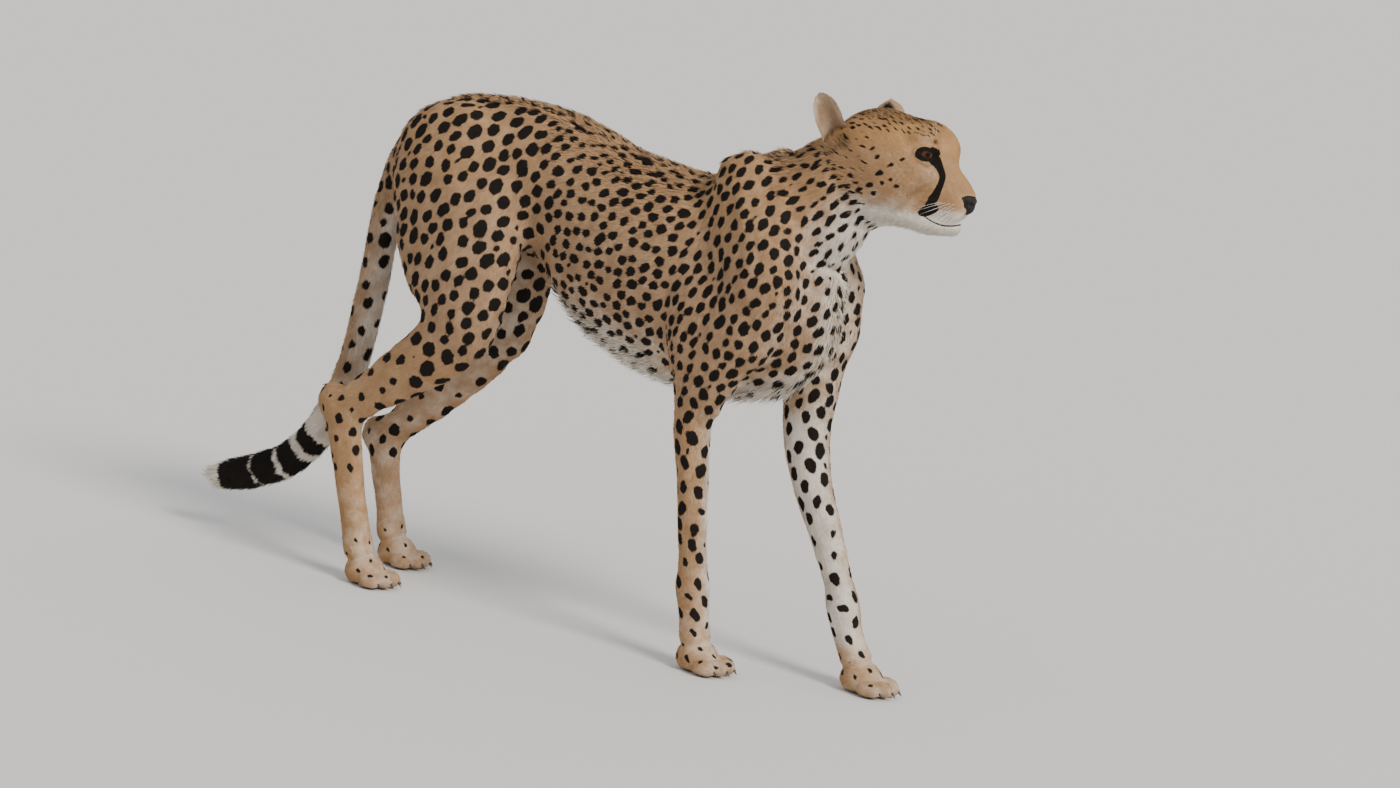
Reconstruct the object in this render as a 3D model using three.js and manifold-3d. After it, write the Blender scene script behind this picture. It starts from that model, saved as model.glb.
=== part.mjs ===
// A life-size cheetah, walking, with its head turned a little to its left.
// Millimetres. +X is forward, +Y the animal's left, +Z up, and the feet stand on Z = 0.
//
// The flesh is one smooth field: a spine, a neck, a skull and four legs, each a sweep of
// ellipses along its bones, with muscles as ellipsoids, all melted together. The field is
// turned into a mesh zone by zone, and thin cuts part it into the animal's named parts.
import * as THREE from "three";
import { mergeVertices } from "three/addons/utils/BufferGeometryUtils.js";
import Module from "manifold-3d";

const wasm = await Module();
wasm.setup();
const { Manifold, Mesh } = wasm;

// ---------------------------------------------------------------- driving sizes
const GAP = 0.3; // what is left between touching parts
// Mesh sizes along x, y and z: longest along each part.
const TRUNK_CELL = [32, 25, 25];
const LEG_CELL = [15, 15, 27];
const TAIL_CELL = [20, 17, 26];
const PAW_CELL = [11.5, 10, 10];
const HEAD_CELL = [10.4, 9.4, 9.4];

const HEAD_AT = [525.7, 40, 762.6]; // between the eyes
const HEAD_YAW = 14; // degrees to the left
const EYE_RADIUS = 16;
const EYE_AT = [-8, 24.5, 0]; // in the head's frame, for the left eye
const CLAW_LENGTH = 16.5; // what shows of a claw
const CLAW_ROOT = 7.5; // how far its root reaches into the toe
const CLAW_RADIUS = 3.4;
const CLAW_FLATTENING = 0.62;
const CLAW_BEND = 45; // the radius of the claw's curve is half of this

const COAT = { color: 0xc9a06c, roughness: 0.9, metalness: 0 };
const PALE_COAT = { color: 0xe9dfd0, roughness: 0.9, metalness: 0 };
const LEATHER = { color: 0x171313, roughness: 0.45, metalness: 0 };
const EYE = { color: 0x8a4a1c, roughness: 0.1, metalness: 0 };
const CLAW = { color: 0x3b332c, roughness: 0.4, metalness: 0 };

// ---------------------------------------------------------------- skeleton
// Trunk: x, height of the back, height of the belly, half width.
const TRUNK = [
  [-322, 652, 590, 26],
  [-300, 688, 545, 46],
  [-258, 719, 522, 66],
  [-205, 737, 514, 75],
  [-135, 742, 517, 76],
  [-65, 736, 520, 73],
  [0, 719, 500, 72],
  [50, 706, 448, 79],
  [105, 695, 412, 86],
  [160, 685, 392, 89],
  [215, 678, 382, 87],
  [270, 688, 380, 80],
  [325, 690, 394, 70],
  [368, 672, 427, 56],
];

const BREAST = { at: [362, 0, 520], radii: [62, 66, 92], melt: 30 };
const WITHERS = { at: [296, 0, 664], radii: [84, 44, 50], melt: 26 };
// How widely each sweep melts into its neighbours.
const MELTS = {
  trunk: 20,
  neck: 30,
  head: 22,
  tail: 10,
  upperForeleg: 22,
  forearm: 14,
  rumpAndThigh: 26,
  shank: 18,
  heel: 16,
  foot: 14,
  muzzle: 16,
  jaw: 9,
};

// Sweeps: x, y, z, half width across the body, half depth.
const NECK = [
  [322, 0, 610, 70, 92],
  [362, 5, 650, 65, 87],
  [400, 14, 697, 60, 73],
  [432, 24, 735, 56, 58],
];
const TAIL = [
  [-302, 0, 670, 22, 24],
  [-334, 0, 622, 23, 24],
  [-353, 0, 556, 23, 24],
  [-362, 0, 480, 23, 24],
  [-371, 0, 405, 23, 24],
  [-382, 0, 335, 23, 24],
  [-402, 0, 265, 23, 24],
  [-438, 0, 193, 24, 25],
  [-490, 0, 138, 25, 26],
  [-555, 0, 106, 26, 26],
  [-608, 0, 88, 23, 23],
  [-640, 0, 76, 13, 13],
];

// A leg's forms. The near legs are on the animal's right, at negative y.
const FORELEG_RIGHT = {
  side: -1,
  scapula: [
    [274, 42, 705, 26, 42],
    [298, 60, 662, 24, 56],
    [333, 74, 600, 28, 62],
    [363, 80, 552, 30, 50],
  ],
  arm: [
    [363, 80, 552, 30, 50],
    [326, 82, 495, 34, 64],
    [290, 80, 442, 33, 56],
    [277, 76, 400, 30, 44],
  ],
  triceps: { at: [262, 74, 472], radii: [54, 32, 72] },
  forearm: [
    [277, 76, 400, 30, 44],
    [266, 73, 354, 25, 29],
    [276, 68, 258, 20, 23],
    [286, 62, 158, 17.5, 22],
    [291, 60, 116, 21, 25],
    [298, 58, 74, 20, 21],
    [304, 58, 42, 24, 21],
  ],
  paw: { at: [312, 58], heading: 0 },
};
const FORELEG_LEFT = {
  side: 1,
  scapula: [
    [284, 42, 705, 26, 42],
    [312, 60, 662, 24, 56],
    [346, 74, 600, 28, 58],
    [374, 80, 552, 30, 46],
  ],
  arm: [
    [374, 80, 552, 30, 46],
    [368, 82, 495, 33, 56],
    [362, 79, 442, 32, 50],
    [362, 74, 400, 30, 42],
  ],
  triceps: { at: [335, 74, 472], radii: [48, 30, 70] },
  forearm: [
    [362, 74, 400, 30, 42],
    [368, 69, 335, 28, 35],
    [390, 65, 270, 24, 30],
    [423, 62, 207, 20, 25.5],
    [452, 60, 148, 17.5, 22],
    [466, 59, 114, 21, 25],
    [482, 58, 74, 20, 21],
    [500, 58, 42, 24, 21],
  ],
  paw: { at: [512, 58], heading: 0 },
};
const HINDLEG_RIGHT = {
  side: -1,
  rump: { at: [-212, 50, 646], radii: [88, 37, 80] },
  thigh: [
    [-222, 62, 632, 40, 84],
    [-178, 72, 560, 46, 108],
    [-150, 82, 500, 45, 102],
    [-128, 92, 446, 38, 74],
    [-112, 96, 412, 31, 48],
  ],
  shank: [
    [-118, 96, 410, 30, 48],
    [-160, 95, 376, 30, 50],
    [-222, 91, 330, 25, 42],
    [-285, 86, 285, 20, 33],
    [-338, 82, 250, 18, 32],
  ],
  foot: [
    [-338, 82, 252, 18, 32],
    [-326, 81, 205, 18, 28],
    [-310, 79, 140, 17, 24],
    [-294, 77, 84, 19, 22],
    [-284, 76, 50, 23, 22],
  ],
  heel: { at: [-362, 82, 262], radii: [24, 14, 26] },
  paw: { at: [-268, 75], heading: 0 },
};
const HINDLEG_LEFT = {
  side: 1,
  rump: { at: [-212, 50, 646], radii: [88, 37, 80] },
  thigh: [
    [-222, 62, 632, 40, 84],
    [-200, 72, 560, 45, 104],
    [-192, 82, 494, 43, 92],
    [-184, 90, 428, 37, 66],
    [-186, 92, 384, 30, 46],
  ],
  shank: [
    [-190, 92, 384, 30, 46],
    [-232, 91, 336, 28, 46],
    [-292, 87, 270, 23, 37],
    [-345, 84, 218, 18, 28],
    [-380, 82, 184, 18, 28],
  ],
  foot: [
    [-380, 82, 186, 18, 28],
    [-368, 81, 138, 17, 25],
    [-352, 79, 84, 18, 22],
    [-342, 78, 48, 23, 22],
  ],
  heel: { at: [-398, 82, 192], radii: [22, 14, 24] },
  paw: { at: [-326, 77], heading: 0 },
};

// A paw's forms, from the middle of its pad, pointing forward.
const PAW_PAD = { at: [2, 0, 15], radii: [33, 27, 19], melt: 8 };
const PAW_TOP = { at: [-2, 0, 26], radii: [26, 23, 20], melt: 14 };
const TOES = [
  [26, -25, 12],
  [37, -9, 13],
  [37, 9, 13],
  [26, 25, 12],
];
const TOE_RADII = [20, 10.5, 12.5];
const TOE_MELT = 5;
const SOLE_DEPTH = 3; // how far the pads reach below the floor before they are cut flat

// The head's forms, in its own frame: x forward, y left, z up from between the eyes.
const HEAD_FORMS = [
  { at: [-70, 0, 0], radii: [62, 51, 51], melt: 14 }, // brain case
  { at: [-14, 0, 4], radii: [52, 35, 40], melt: 16 }, // forehead
  { at: [-58, 0, -61], radii: [54, 44, 43], melt: 16 }, // throat
  { at: [0, 0, -66], radii: [46, 27, 30], melt: 14 }, // between the jaws
];
const HEAD_PAIRS = [
  { at: [-48, 33, -34], radii: [42, 24, 42], melt: 16 }, // cheek
  { at: [-22, 33, -30], radii: [34, 16, 20], melt: 12 }, // cheekbone
  { at: [-26, 28, -4], radii: [22, 13, 18], melt: 8 }, // behind the eye
  { at: [-8, 26, 20], radii: [26, 12, 8], melt: 9 }, // brow
  { at: [40, 12, -68], radii: [20, 13, 20], melt: 8 }, // whisker pad
  { at: [-8, 24.5, 0], radii: [19.5, 18.8, 18.8], melt: 7 }, // lids and the rim of the socket
];
const MUZZLE = [
  [-6, 0, -26, 31, 32],
  [20, 0, -38, 24, 29],
  [37, 0, -46, 19, 24],
  [52, 0, -56, 15, 18],
];
const JAW = [
  [-48, 0, -80, 33, 22],
  [-10, 0, -88, 26, 18],
  [18, 0, -94, 19, 16],
  [40, 0, -94, 13, 13.5],
];
const MOUTH = [
  [2, 34, -83],
  [15, 30, -90],
  [30, 24, -94],
  [44, 16, -93],
  [53, 8, -90],
  [57, 0, -87],
];
const MOUTH_RADIUS = 2.2;
const NOSE = [
  { at: [55, 0, -58], radii: [14, 16, 12] },
  { at: [54, 0, -67], radii: [13, 10, 10] },
];
const NOSTRIL = { at: [67, 9, -60], radii: [7, 4.5, 3] };
// The opening between the left eye's lids: where it looks, its half width and half height, and
// how much its outer corner is raised, in degrees.
const OPENING = { gaze: [0.66, 0.75, -0.03], across: 11.8, up: 6.2, lean: 10 };

// ---------------------------------------------------------------- small vector helpers
const V = (a) => new THREE.Vector3(...a);
const mirror = ([x, y, ...rest], side) => [x, y * side, ...rest];
const radians = THREE.MathUtils.degToRad;

// Turns a point of the head's frame into the model's frame.
const headTurn = new THREE.Matrix4()
  .makeRotationZ(radians(HEAD_YAW))
  .setPosition(...HEAD_AT);
const headTurnBack = headTurn.clone().invert();

// ---------------------------------------------------------------- fields
// A field gives a point's distance to a form, below zero inside it. Its box lets far points
// skip the work.
function ellipsoidField({ at, radii }) {
  const [cx, cy, cz] = at;
  const [rx, ry, rz] = radii;
  const box = new THREE.Box3(
    new THREE.Vector3(cx - rx, cy - ry, cz - rz),
    new THREE.Vector3(cx + rx, cy + ry, cz + rz),
  );
  const distance = (x, y, z) => {
    const u = (x - cx) / rx;
    const v = (y - cy) / ry;
    const w = (z - cz) / rz;
    const k0 = Math.hypot(u, v, w);
    const k1 = Math.hypot(u / rx, v / ry, w / rz);
    return k1 < 1e-9 ? -Math.min(rx, ry, rz) : (k0 * (k0 - 1)) / k1;
  };
  return { box, distance };
}

// Stations between the given ones, on a smooth curve through them.
function finer(stations, steps = 5) {
  const curve = new THREE.CatmullRomCurve3(
    stations.map(([x, y, z]) => new THREE.Vector3(x, y, z)),
    false,
    "centripetal",
  );
  const last = stations.length - 1;
  const made = [];
  for (let i = 0; i <= last * steps; i++) {
    const t = i / steps;
    const k = Math.min(Math.floor(t), last - 1);
    const s = THREE.MathUtils.smoothstep(t - k, -0.2, 1.2);
    const s0 = THREE.MathUtils.smoothstep(0, -0.2, 1.2);
    const share = (s - s0) / (1 - 2 * s0);
    const p = curve.getPoint(i / (last * steps));
    const across = THREE.MathUtils.lerp(stations[k][3], stations[k + 1][3], share);
    const deep = THREE.MathUtils.lerp(stations[k][4], stations[k + 1][4], share);
    made.push([p.x, p.y, p.z, across, deep]);
  }
  return made;
}

// A sweep of ellipses. Each has one half axis across the body and one square to that.
function sweepField(stations) {
  const s = finer(stations);
  const box = new THREE.Box3();
  const pieces = [];
  for (let i = 0; i + 1 < s.length; i++) {
    const a = V(s[i].slice(0, 3));
    const b = V(s[i + 1].slice(0, 3));
    const along = b.clone().sub(a);
    const length = along.length();
    along.normalize();
    const across = new THREE.Vector3(0, 1, 0).addScaledVector(along, -along.y).normalize();
    const deep = along.clone().cross(across);
    pieces.push({ a, along, length, across, deep, from: s[i], to: s[i + 1] });
    const reach = Math.max(...s[i].slice(3), ...s[i + 1].slice(3));
    box.expandByPoint(a.clone().addScalar(reach)).expandByPoint(a.clone().addScalar(-reach));
    box.expandByPoint(b.clone().addScalar(reach)).expandByPoint(b.clone().addScalar(-reach));
  }
  const distance = (x, y, z) => {
    let best = Infinity;
    for (const { a, along, length, across, deep, from, to } of pieces) {
      const px = x - a.x;
      const py = y - a.y;
      const pz = z - a.z;
      const q = px * along.x + py * along.y + pz * along.z;
      const t = Math.min(1, Math.max(0, q / length));
      const w = q - t * length;
      const u = px * across.x + py * across.y + pz * across.z;
      const v = px * deep.x + py * deep.y + pz * deep.z;
      const ru = from[3] + (to[3] - from[3]) * t;
      const rv = from[4] + (to[4] - from[4]) * t;
      const rw = Math.min(ru, rv);
      const k0 = Math.sqrt((u / ru) ** 2 + (v / rv) ** 2 + (w / rw) ** 2);
      const k1 = Math.sqrt((u / ru ** 2) ** 2 + (v / rv ** 2) ** 2 + (w / rw ** 2) ** 2);
      const d = k1 < 1e-9 ? -rw : (k0 * (k0 - 1)) / k1;
      if (d < best) best = d;
    }
    return best;
  };
  return { box, distance };
}

// Melts forms into one, each over its own width. Beyond its reach a form's box will do.
const REACH = 30;
const FAR = 1000;
function meltedField(forms) {
  const box = new THREE.Box3();
  for (const { field } of forms) box.union(field.box);
  const point = new THREE.Vector3();
  const distance = (x, y, z) => {
    let d = FAR;
    point.set(x, y, z);
    for (const { field, melt } of forms) {
      const off = field.box.distanceToPoint(point);
      if (off > REACH && off > d) continue;
      const e = off > REACH ? off : field.distance(x, y, z);
      const h = Math.max(melt - Math.abs(d - e), 0) / melt;
      d = Math.min(d, e) - (h * h * melt) / 4;
    }
    return d;
  };
  return { box, distance };
}

// The same field, in a frame that is turned and moved.
function placedField(field, matrix) {
  const back = matrix.clone().invert();
  const point = new THREE.Vector3();
  const distance = (x, y, z) => {
    point.set(x, y, z).applyMatrix4(back);
    return field.distance(point.x, point.y, point.z);
  };
  return { box: field.box.clone().applyMatrix4(matrix), distance };
}

function trunkField() {
  const stations = TRUNK.map(([x, top, bottom, half]) => [
    x,
    0,
    (top + bottom) / 2,
    half,
    (top - bottom) / 2,
  ]);
  return sweepField(stations);
}

function legForms({ side, scapula, arm, triceps, forearm, rump, thigh, shank, foot, heel }) {
  const made = [];
  const sweep = (stations, melt) =>
    made.push({ field: sweepField(stations.map((s) => mirror(s, side))), melt });
  const muscle = ({ at, radii }, melt) =>
    made.push({ field: ellipsoidField({ at: mirror(at, side), radii }), melt });
  if (scapula) {
    sweep(scapula, MELTS.upperForeleg);
    sweep(arm, MELTS.upperForeleg);
    muscle(triceps, MELTS.upperForeleg);
    sweep(forearm, MELTS.forearm);
  } else {
    muscle(rump, MELTS.rumpAndThigh);
    sweep(thigh, MELTS.rumpAndThigh);
    sweep(shank, MELTS.shank);
    muscle(heel, MELTS.heel);
    sweep(foot, MELTS.foot);
  }
  return made;
}

function pawForms({ side, paw }) {
  const place = new THREE.Matrix4()
    .makeRotationZ(radians(paw.heading))
    .setPosition(paw.at[0], paw.at[1] * side, -SOLE_DEPTH);
  const lift = ([x, y, z]) => [x, y, z + SOLE_DEPTH];
  const toes = TOES.map((at) => ({ at, radii: TOE_RADII, melt: TOE_MELT }));
  return [PAW_PAD, PAW_TOP, ...toes].map(({ at, radii, melt }) => ({
    field: placedField(ellipsoidField({ at: lift(at), radii }), place),
    melt,
  }));
}

function headField() {
  const forms = HEAD_FORMS.map(({ melt, ...form }) => ({ field: ellipsoidField(form), melt }));
  forms.push({ field: sweepField(MUZZLE), melt: MELTS.muzzle });
  forms.push({ field: sweepField(JAW), melt: MELTS.jaw });
  for (const side of [-1, 1])
    for (const { at, radii, melt } of HEAD_PAIRS)
      forms.push({ field: ellipsoidField({ at: mirror(at, side), radii }), melt });
  return placedField(meltedField(forms), headTurn);
}

const LEGS = {
  foreleg_right: FORELEG_RIGHT,
  foreleg_left: FORELEG_LEFT,
  hindleg_right: HINDLEG_RIGHT,
  hindleg_left: HINDLEG_LEFT,
};
const flesh = meltedField([
  { field: trunkField(), melt: MELTS.trunk },
  { field: ellipsoidField(BREAST), melt: BREAST.melt },
  { field: ellipsoidField(WITHERS), melt: WITHERS.melt },
  { field: sweepField(NECK), melt: MELTS.neck },
  ...Object.values(LEGS).flatMap(legForms),
  ...Object.values(LEGS).flatMap(pawForms),
  { field: sweepField(TAIL), melt: MELTS.tail },
  { field: headField(), melt: MELTS.head },
]);

// ---------------------------------------------------------------- meshing
const toSolid = (position, index) =>
  new Manifold(new Mesh({ numProp: 3, vertProperties: position, triVerts: index }));

// A cell's edges. Edge 4 n + a + 2 b runs along axis n, at steps a and b on the next two axes.
const CORNERS = [0, 1, 2, 3, 4, 5, 6, 7].map((c) => [c & 1, (c >> 1) & 1, c >> 2]);
const EDGES = [];
for (let n = 0; n < 3; n++)
  for (const b of [0, 1])
    for (const a of [0, 1]) {
      const from = (a << (n + 1) % 3) | (b << (n + 2) % 3);
      EDGES.push([from, from | (1 << n)]);
    }
const FACES = [];
for (const bit of [1, 2, 4])
  for (const side of [0, bit])
    FACES.push([...EDGES.keys()].filter((e) => EDGES[e].every((c) => (c & bit) === side)));

// The sheets of surface inside one cell, each as a list of the edges that it crosses.
function sheetsOf(corner) {
  const sheet = EDGES.map((_, e) => e);
  const insideEnd = EDGES.map(([a, b]) => {
    if (corner[a] < 0 === corner[b] < 0) return -1;
    return corner[a] < 0 ? a : b;
  });
  const join = (e, f) => {
    const [keep, drop] = [sheet[e], sheet[f]];
    sheet.forEach((v, i) => v === drop && (sheet[i] = keep));
  };
  for (const face of FACES) {
    const crossed = face.filter((e) => insideEnd[e] >= 0);
    for (const e of crossed)
      for (const f of crossed)
        if (e < f && (crossed.length === 2 || insideEnd[e] === insideEnd[f])) join(e, f);
  }
  const made = new Map();
  insideEnd.forEach((end, e) => {
    if (end < 0) return;
    if (!made.has(sheet[e])) made.set(sheet[e], []);
    made.get(sheet[e]).push(e);
  });
  return [...made.values()];
}

// Surface nets over a box of cells: a vertex for each sheet of surface in a cell, moved onto
// the surface, and two triangles around each crossed edge.
function netSolid(field, low, high, cell, level = 0) {
  const count = low.map((v, n) => Math.ceil((high[n] - v) / cell[n]) + 1);
  const [nx, ny, nz] = count;
  const strides = [1, nx, nx * ny];
  const value = new Float32Array(nx * ny * nz);
  const eachPoint = (act) => {
    for (let k = 0; k < nz; k++)
      for (let j = 0; j < ny; j++) for (let i = 0; i < nx; i++) act([i, j, k]);
  };
  const at = ([i, j, k]) => i + nx * (j + ny * k);
  eachPoint((p) => {
    const d = field.distance(...p.map((v, n) => low[n] + v * cell[n])) - level;
    const rim = p.some((v, n) => v === 0 || v === count[n] - 1);
    value[at(p)] = rim ? Math.max(d, cell[0] / 4) : d;
  });
  const vertexOf = new Int32Array(value.length * 12).fill(-1);
  const points = [];
  eachPoint((p) => {
    if (p.some((v, n) => v === count[n] - 1)) return;
    const corner = CORNERS.map((c) => value[at(p.map((v, n) => v + c[n]))]);
    const inside = corner.filter((v) => v < 0).length;
    if (inside === 0 || inside === 8) return;
    for (const sheet of sheetsOf(corner)) {
      const sum = [0, 0, 0];
      for (const e of sheet) {
        const [a, b] = EDGES[e];
        const t = corner[a] / (corner[a] - corner[b]);
        for (let n = 0; n < 3; n++) sum[n] += CORNERS[a][n] + t * (CORNERS[b][n] - CORNERS[a][n]);
        vertexOf[at(p) * 12 + e] = points.length;
      }
      const middle = p.map((v, n) => low[n] + (v + sum[n] / sheet.length) * cell[n]);
      points.push(ontoSurface(field, middle, level, cell[0] / 3));
    }
  });
  const index = [];
  const far = (a, b) => V(points[a]).distanceTo(V(points[b]));
  eachPoint((p) => {
    for (let n = 0; n < 3; n++) {
      const [nu, nv] = [(n + 1) % 3, (n + 2) % 3];
      if (p[n] === count[n] - 1 || !p[nu] || !p[nv]) continue;
      const q = at(p);
      const inFirst = value[q] < 0;
      if (inFirst === value[q + strides[n]] < 0) continue;
      const ring = [[1, 1], [0, 1], [0, 0], [1, 0]].map(
        ([a, b]) => vertexOf[(q - a * strides[nu] - b * strides[nv]) * 12 + 4 * n + a + 2 * b],
      );
      if (!inFirst) ring.reverse();
      const [a, b, c, d] = ring;
      if (far(a, c) <= far(b, d)) index.push(a, b, c, a, c, d);
      else index.push(a, b, d, b, c, d);
    }
  });
  return toSolid(new Float32Array(points.flat()), new Uint32Array(index));
}

// Moves a point along the field's slope to the surface, by at most the given reach.
function ontoSurface(field, [x, y, z], level, reach) {
  const e = 0.5;
  const f = (a, b, c) => field.distance(a, b, c);
  for (let pass = 0; pass < 2; pass++) {
    const gx = (f(x + e, y, z) - f(x - e, y, z)) / (2 * e);
    const gy = (f(x, y + e, z) - f(x, y - e, z)) / (2 * e);
    const gz = (f(x, y, z + e) - f(x, y, z - e)) / (2 * e);
    const slope = gx * gx + gy * gy + gz * gz;
    if (slope < 0.01) break;
    const size = Math.sqrt(slope);
    const far = (f(x, y, z) - level) / size;
    const step = Math.max(-reach, Math.min(reach, far)) / size;
    x -= gx * step;
    y -= gy * step;
    z -= gz * step;
  }
  return [x, y, z];
}

// A three.js geometry as a solid, placed by a matrix.
function geometrySolid(geometry, matrix = new THREE.Matrix4()) {
  const plain = geometry.clone().applyMatrix4(matrix);
  plain.deleteAttribute("normal");
  plain.deleteAttribute("uv");
  const merged = mergeVertices(plain, 1e-3);
  return toSolid(merged.attributes.position.array, new Uint32Array(merged.index.array));
}

// ---------------------------------------------------------------- cuts
// A cut is a point and a direction. The part ahead of it is kept, less half of the gap.
const cut = (at, towards) => ({ at, towards: V(towards).normalize().toArray() });
const back = ({ at, towards }) => ({ at, towards: towards.map((v) => -v) });
function trim(solid, cuts, grow = -GAP / 2) {
  for (const { at, towards } of cuts) {
    const offset = V(at).dot(V(towards)) - grow;
    solid = solid.trimByPlane(towards, offset);
  }
  return solid;
}
const WORLD = 3000; // wider than the animal
const everything = () => geometrySolid(new THREE.BoxGeometry(WORLD, WORLD, WORLD));
const region = (cuts) => trim(everything(), cuts, GAP / 2);

// Keeps a solid's largest closed piece.
function largest(solid) {
  const pieces = solid.decompose();
  return pieces.reduce((a, b) => (a.volume() >= b.volume() ? a : b));
}

const HEAD_CUT = cut([425, 15, 705], [0.77, 0.19, 0.61]);
const NECK_CUT = cut([374, 0, 652], [0.823, 0, 0.568]);
const LOIN_CUT = cut([72, 0, 560], [1, 0, 0]);
const RUMP_CUT = cut([-98, 0, 620], [1, 0, 0]);
const FLOOR = cut([0, 0, -GAP / 2], [0, 0, 1]);
const TAIL_CUTS = [
  cut([-340, 0, 616], [-0.25, 0, -0.97]),
  cut([-324, 0, 560], [-1, 0, 0]),
  cut([-340, 30, 600], [0, -1, 0]),
  cut([-340, -30, 600], [0, 1, 0]),
];

// Where each leg leaves the trunk: a leaning inner plane, and the planes before and behind.
const legRoot = {
  foreleg: (side, rear) => [
    cut([300, 34 * side, 540], [0, side, 0]),
    cut([rear, 0, 540], [0.99, 0, -0.12]),
    back(NECK_CUT),
  ],
  hindleg: (side) => [
    cut([-200, 30 * side, 570], [0, side, 0]),
    cut([-22, 0, 615], [-0.98, 0, -0.2]),
  ],
};
const LEG_ROOTS = {
  foreleg_right: legRoot.foreleg(-1, 206),
  foreleg_left: legRoot.foreleg(1, 246),
  hindleg_right: legRoot.hindleg(-1),
  hindleg_left: legRoot.hindleg(1),
};
// Cuts across each leg, from the top: each keeps what lies above it.
const LEG_CUTS = {
  foreleg_right: [cut([270, 0, 372], [0.05, 0, 1]), cut([289, 0, 128], [-0.1, 0, 1])],
  foreleg_left: [cut([364, 0, 372], [-0.1, 0, 0.99]), cut([460, 0, 128], [-0.45, 0, 0.9])],
  hindleg_right: [
    cut([-150, 0, 388], [0.45, 0, 0.89]),
    cut([-330, 0, 262], [0.38, 0, 0.92]),
    cut([-290, 0, 74], [-0.15, 0, 0.98]),
  ],
  hindleg_left: [
    cut([-212, 0, 352], [0.45, 0, 0.89]),
    cut([-372, 0, 200], [0.38, 0, 0.92]),
    cut([-348, 0, 66], [-0.2, 0, 0.98]),
  ],
};
// The boxes that are meshed: their low and high corners, or margins round a part.
const TRUNK_BOX = [[-380, -144, 330], [520, 144, 800]];
const HEAD_BOX = [[345, -45, 640], [610, 120, 830]];
const LEG_MARGIN = 78;
const LEG_LOW = 20; // the paws have meshes of their own below this
const PAW_BOX = { behind: 66, ahead: 72, beside: 46, below: 12, aboveAnkle: 20, high: 100 };
const TAIL_MARGIN = 42;
const TAIL_BEHIND = 10; // added to the margin behind the tip
const TAIL_FRONT = -300; // the tail's mesh and its pieces end here, inside the rump
const LEG_NAMES = {
  foreleg: ["shoulder", "forearm", "forepaw"],
  hindleg: ["thigh", "shank", "hindfoot", "hindpaw"],
};

// ---------------------------------------------------------------- model
const model = new THREE.Group();
model.name = "cheetah";

function addNode(name, solid, looks) {
  const { vertProperties, triVerts, numProp, numVert } = largest(solid).getMesh();
  const position = new Float32Array(numVert * 3);
  for (let i = 0; i < numVert; i++)
    position.set(vertProperties.subarray(i * numProp, i * numProp + 3), i * 3);
  const geometry = new THREE.BufferGeometry();
  geometry.setAttribute("position", new THREE.BufferAttribute(position, 3));
  geometry.setIndex(new THREE.BufferAttribute(triVerts, 1));
  geometry.computeVertexNormals();
  const mesh = new THREE.Mesh(geometry, new THREE.MeshStandardMaterial(looks));
  mesh.name = name;
  model.add(mesh);
}

function addTrunk() {
  const trunk = netSolid(flesh, ...TRUNK_BOX, TRUNK_CELL);
  const legs = Object.values(LEG_ROOTS).map(region);
  const tail = region(TAIL_CUTS);
  const body = legs.reduce((solid, leg) => solid.subtract(leg), trunk).subtract(tail);
  addNode("neck", trim(body, [NECK_CUT, back(HEAD_CUT)]), COAT);
  addNode("chest", trim(body, [back(NECK_CUT), LOIN_CUT]), COAT);
  addNode("loin", trim(body, [back(LOIN_CUT), RUMP_CUT]), COAT);
  addNode("hindquarters", trim(body, [back(RUMP_CUT)]), COAT);
  for (const [leg, root] of Object.entries(LEG_ROOTS)) {
    const [kind, side] = leg.split("_");
    const top = trim(trunk, [...root, LEG_CUTS[leg][0]]);
    addNode(`${LEG_NAMES[kind][0]}_${side}`, top, COAT);
  }
}

// A box round a sweep's stations, on one side of the body.
function boxRound(stations, side, margin) {
  const box = new THREE.Box3();
  for (const [x, y, z] of stations) box.expandByPoint(new THREE.Vector3(x, y * side, z));
  box.expandByScalar(margin);
  return [box.min.toArray(), box.max.toArray()];
}

function addLowerLegs() {
  for (const [leg, shape] of Object.entries(LEGS)) {
    const [kind, side] = leg.split("_");
    const names = LEG_NAMES[kind];
    const cuts = LEG_CUTS[leg];
    const lengths = kind === "foreleg" ? [shape.forearm] : [shape.shank, shape.foot];
    lengths.forEach((stations, n) => {
      const [low, high] = boxRound(stations, shape.side, LEG_MARGIN);
      low[2] = Math.max(low[2], LEG_LOW);
      const solid = netSolid(flesh, low, high, LEG_CELL);
      const kept = [back(cuts[n]), cuts[n + 1], ...LEG_ROOTS[leg]];
      addNode(`${names[n + 1]}_${side}`, trim(solid, kept), COAT);
    });
    addPaw(leg, shape, `${names.at(-1)}_${side}`, cuts.at(-1));
  }
}

// A claw: a cone bent down, with its root set in the toe. Its socket is the same, grown.
function clawSolid(matrix, grow = 0) {
  const length = CLAW_LENGTH + CLAW_ROOT + 2 * grow;
  const cone = new THREE.ConeGeometry(CLAW_RADIUS + grow, length, 5, 2);
  cone.translate(0, (CLAW_LENGTH - CLAW_ROOT) / 2, 0).rotateZ(-Math.PI / 2);
  const position = cone.attributes.position;
  for (let i = 0; i < position.count; i++) {
    const x = position.getX(i);
    position.setY(i, position.getY(i) * CLAW_FLATTENING);
    position.setZ(i, position.getZ(i) - (x > 0 ? (x * x) / CLAW_BEND : 0));
  }
  return geometrySolid(cone, matrix);
}

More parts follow.
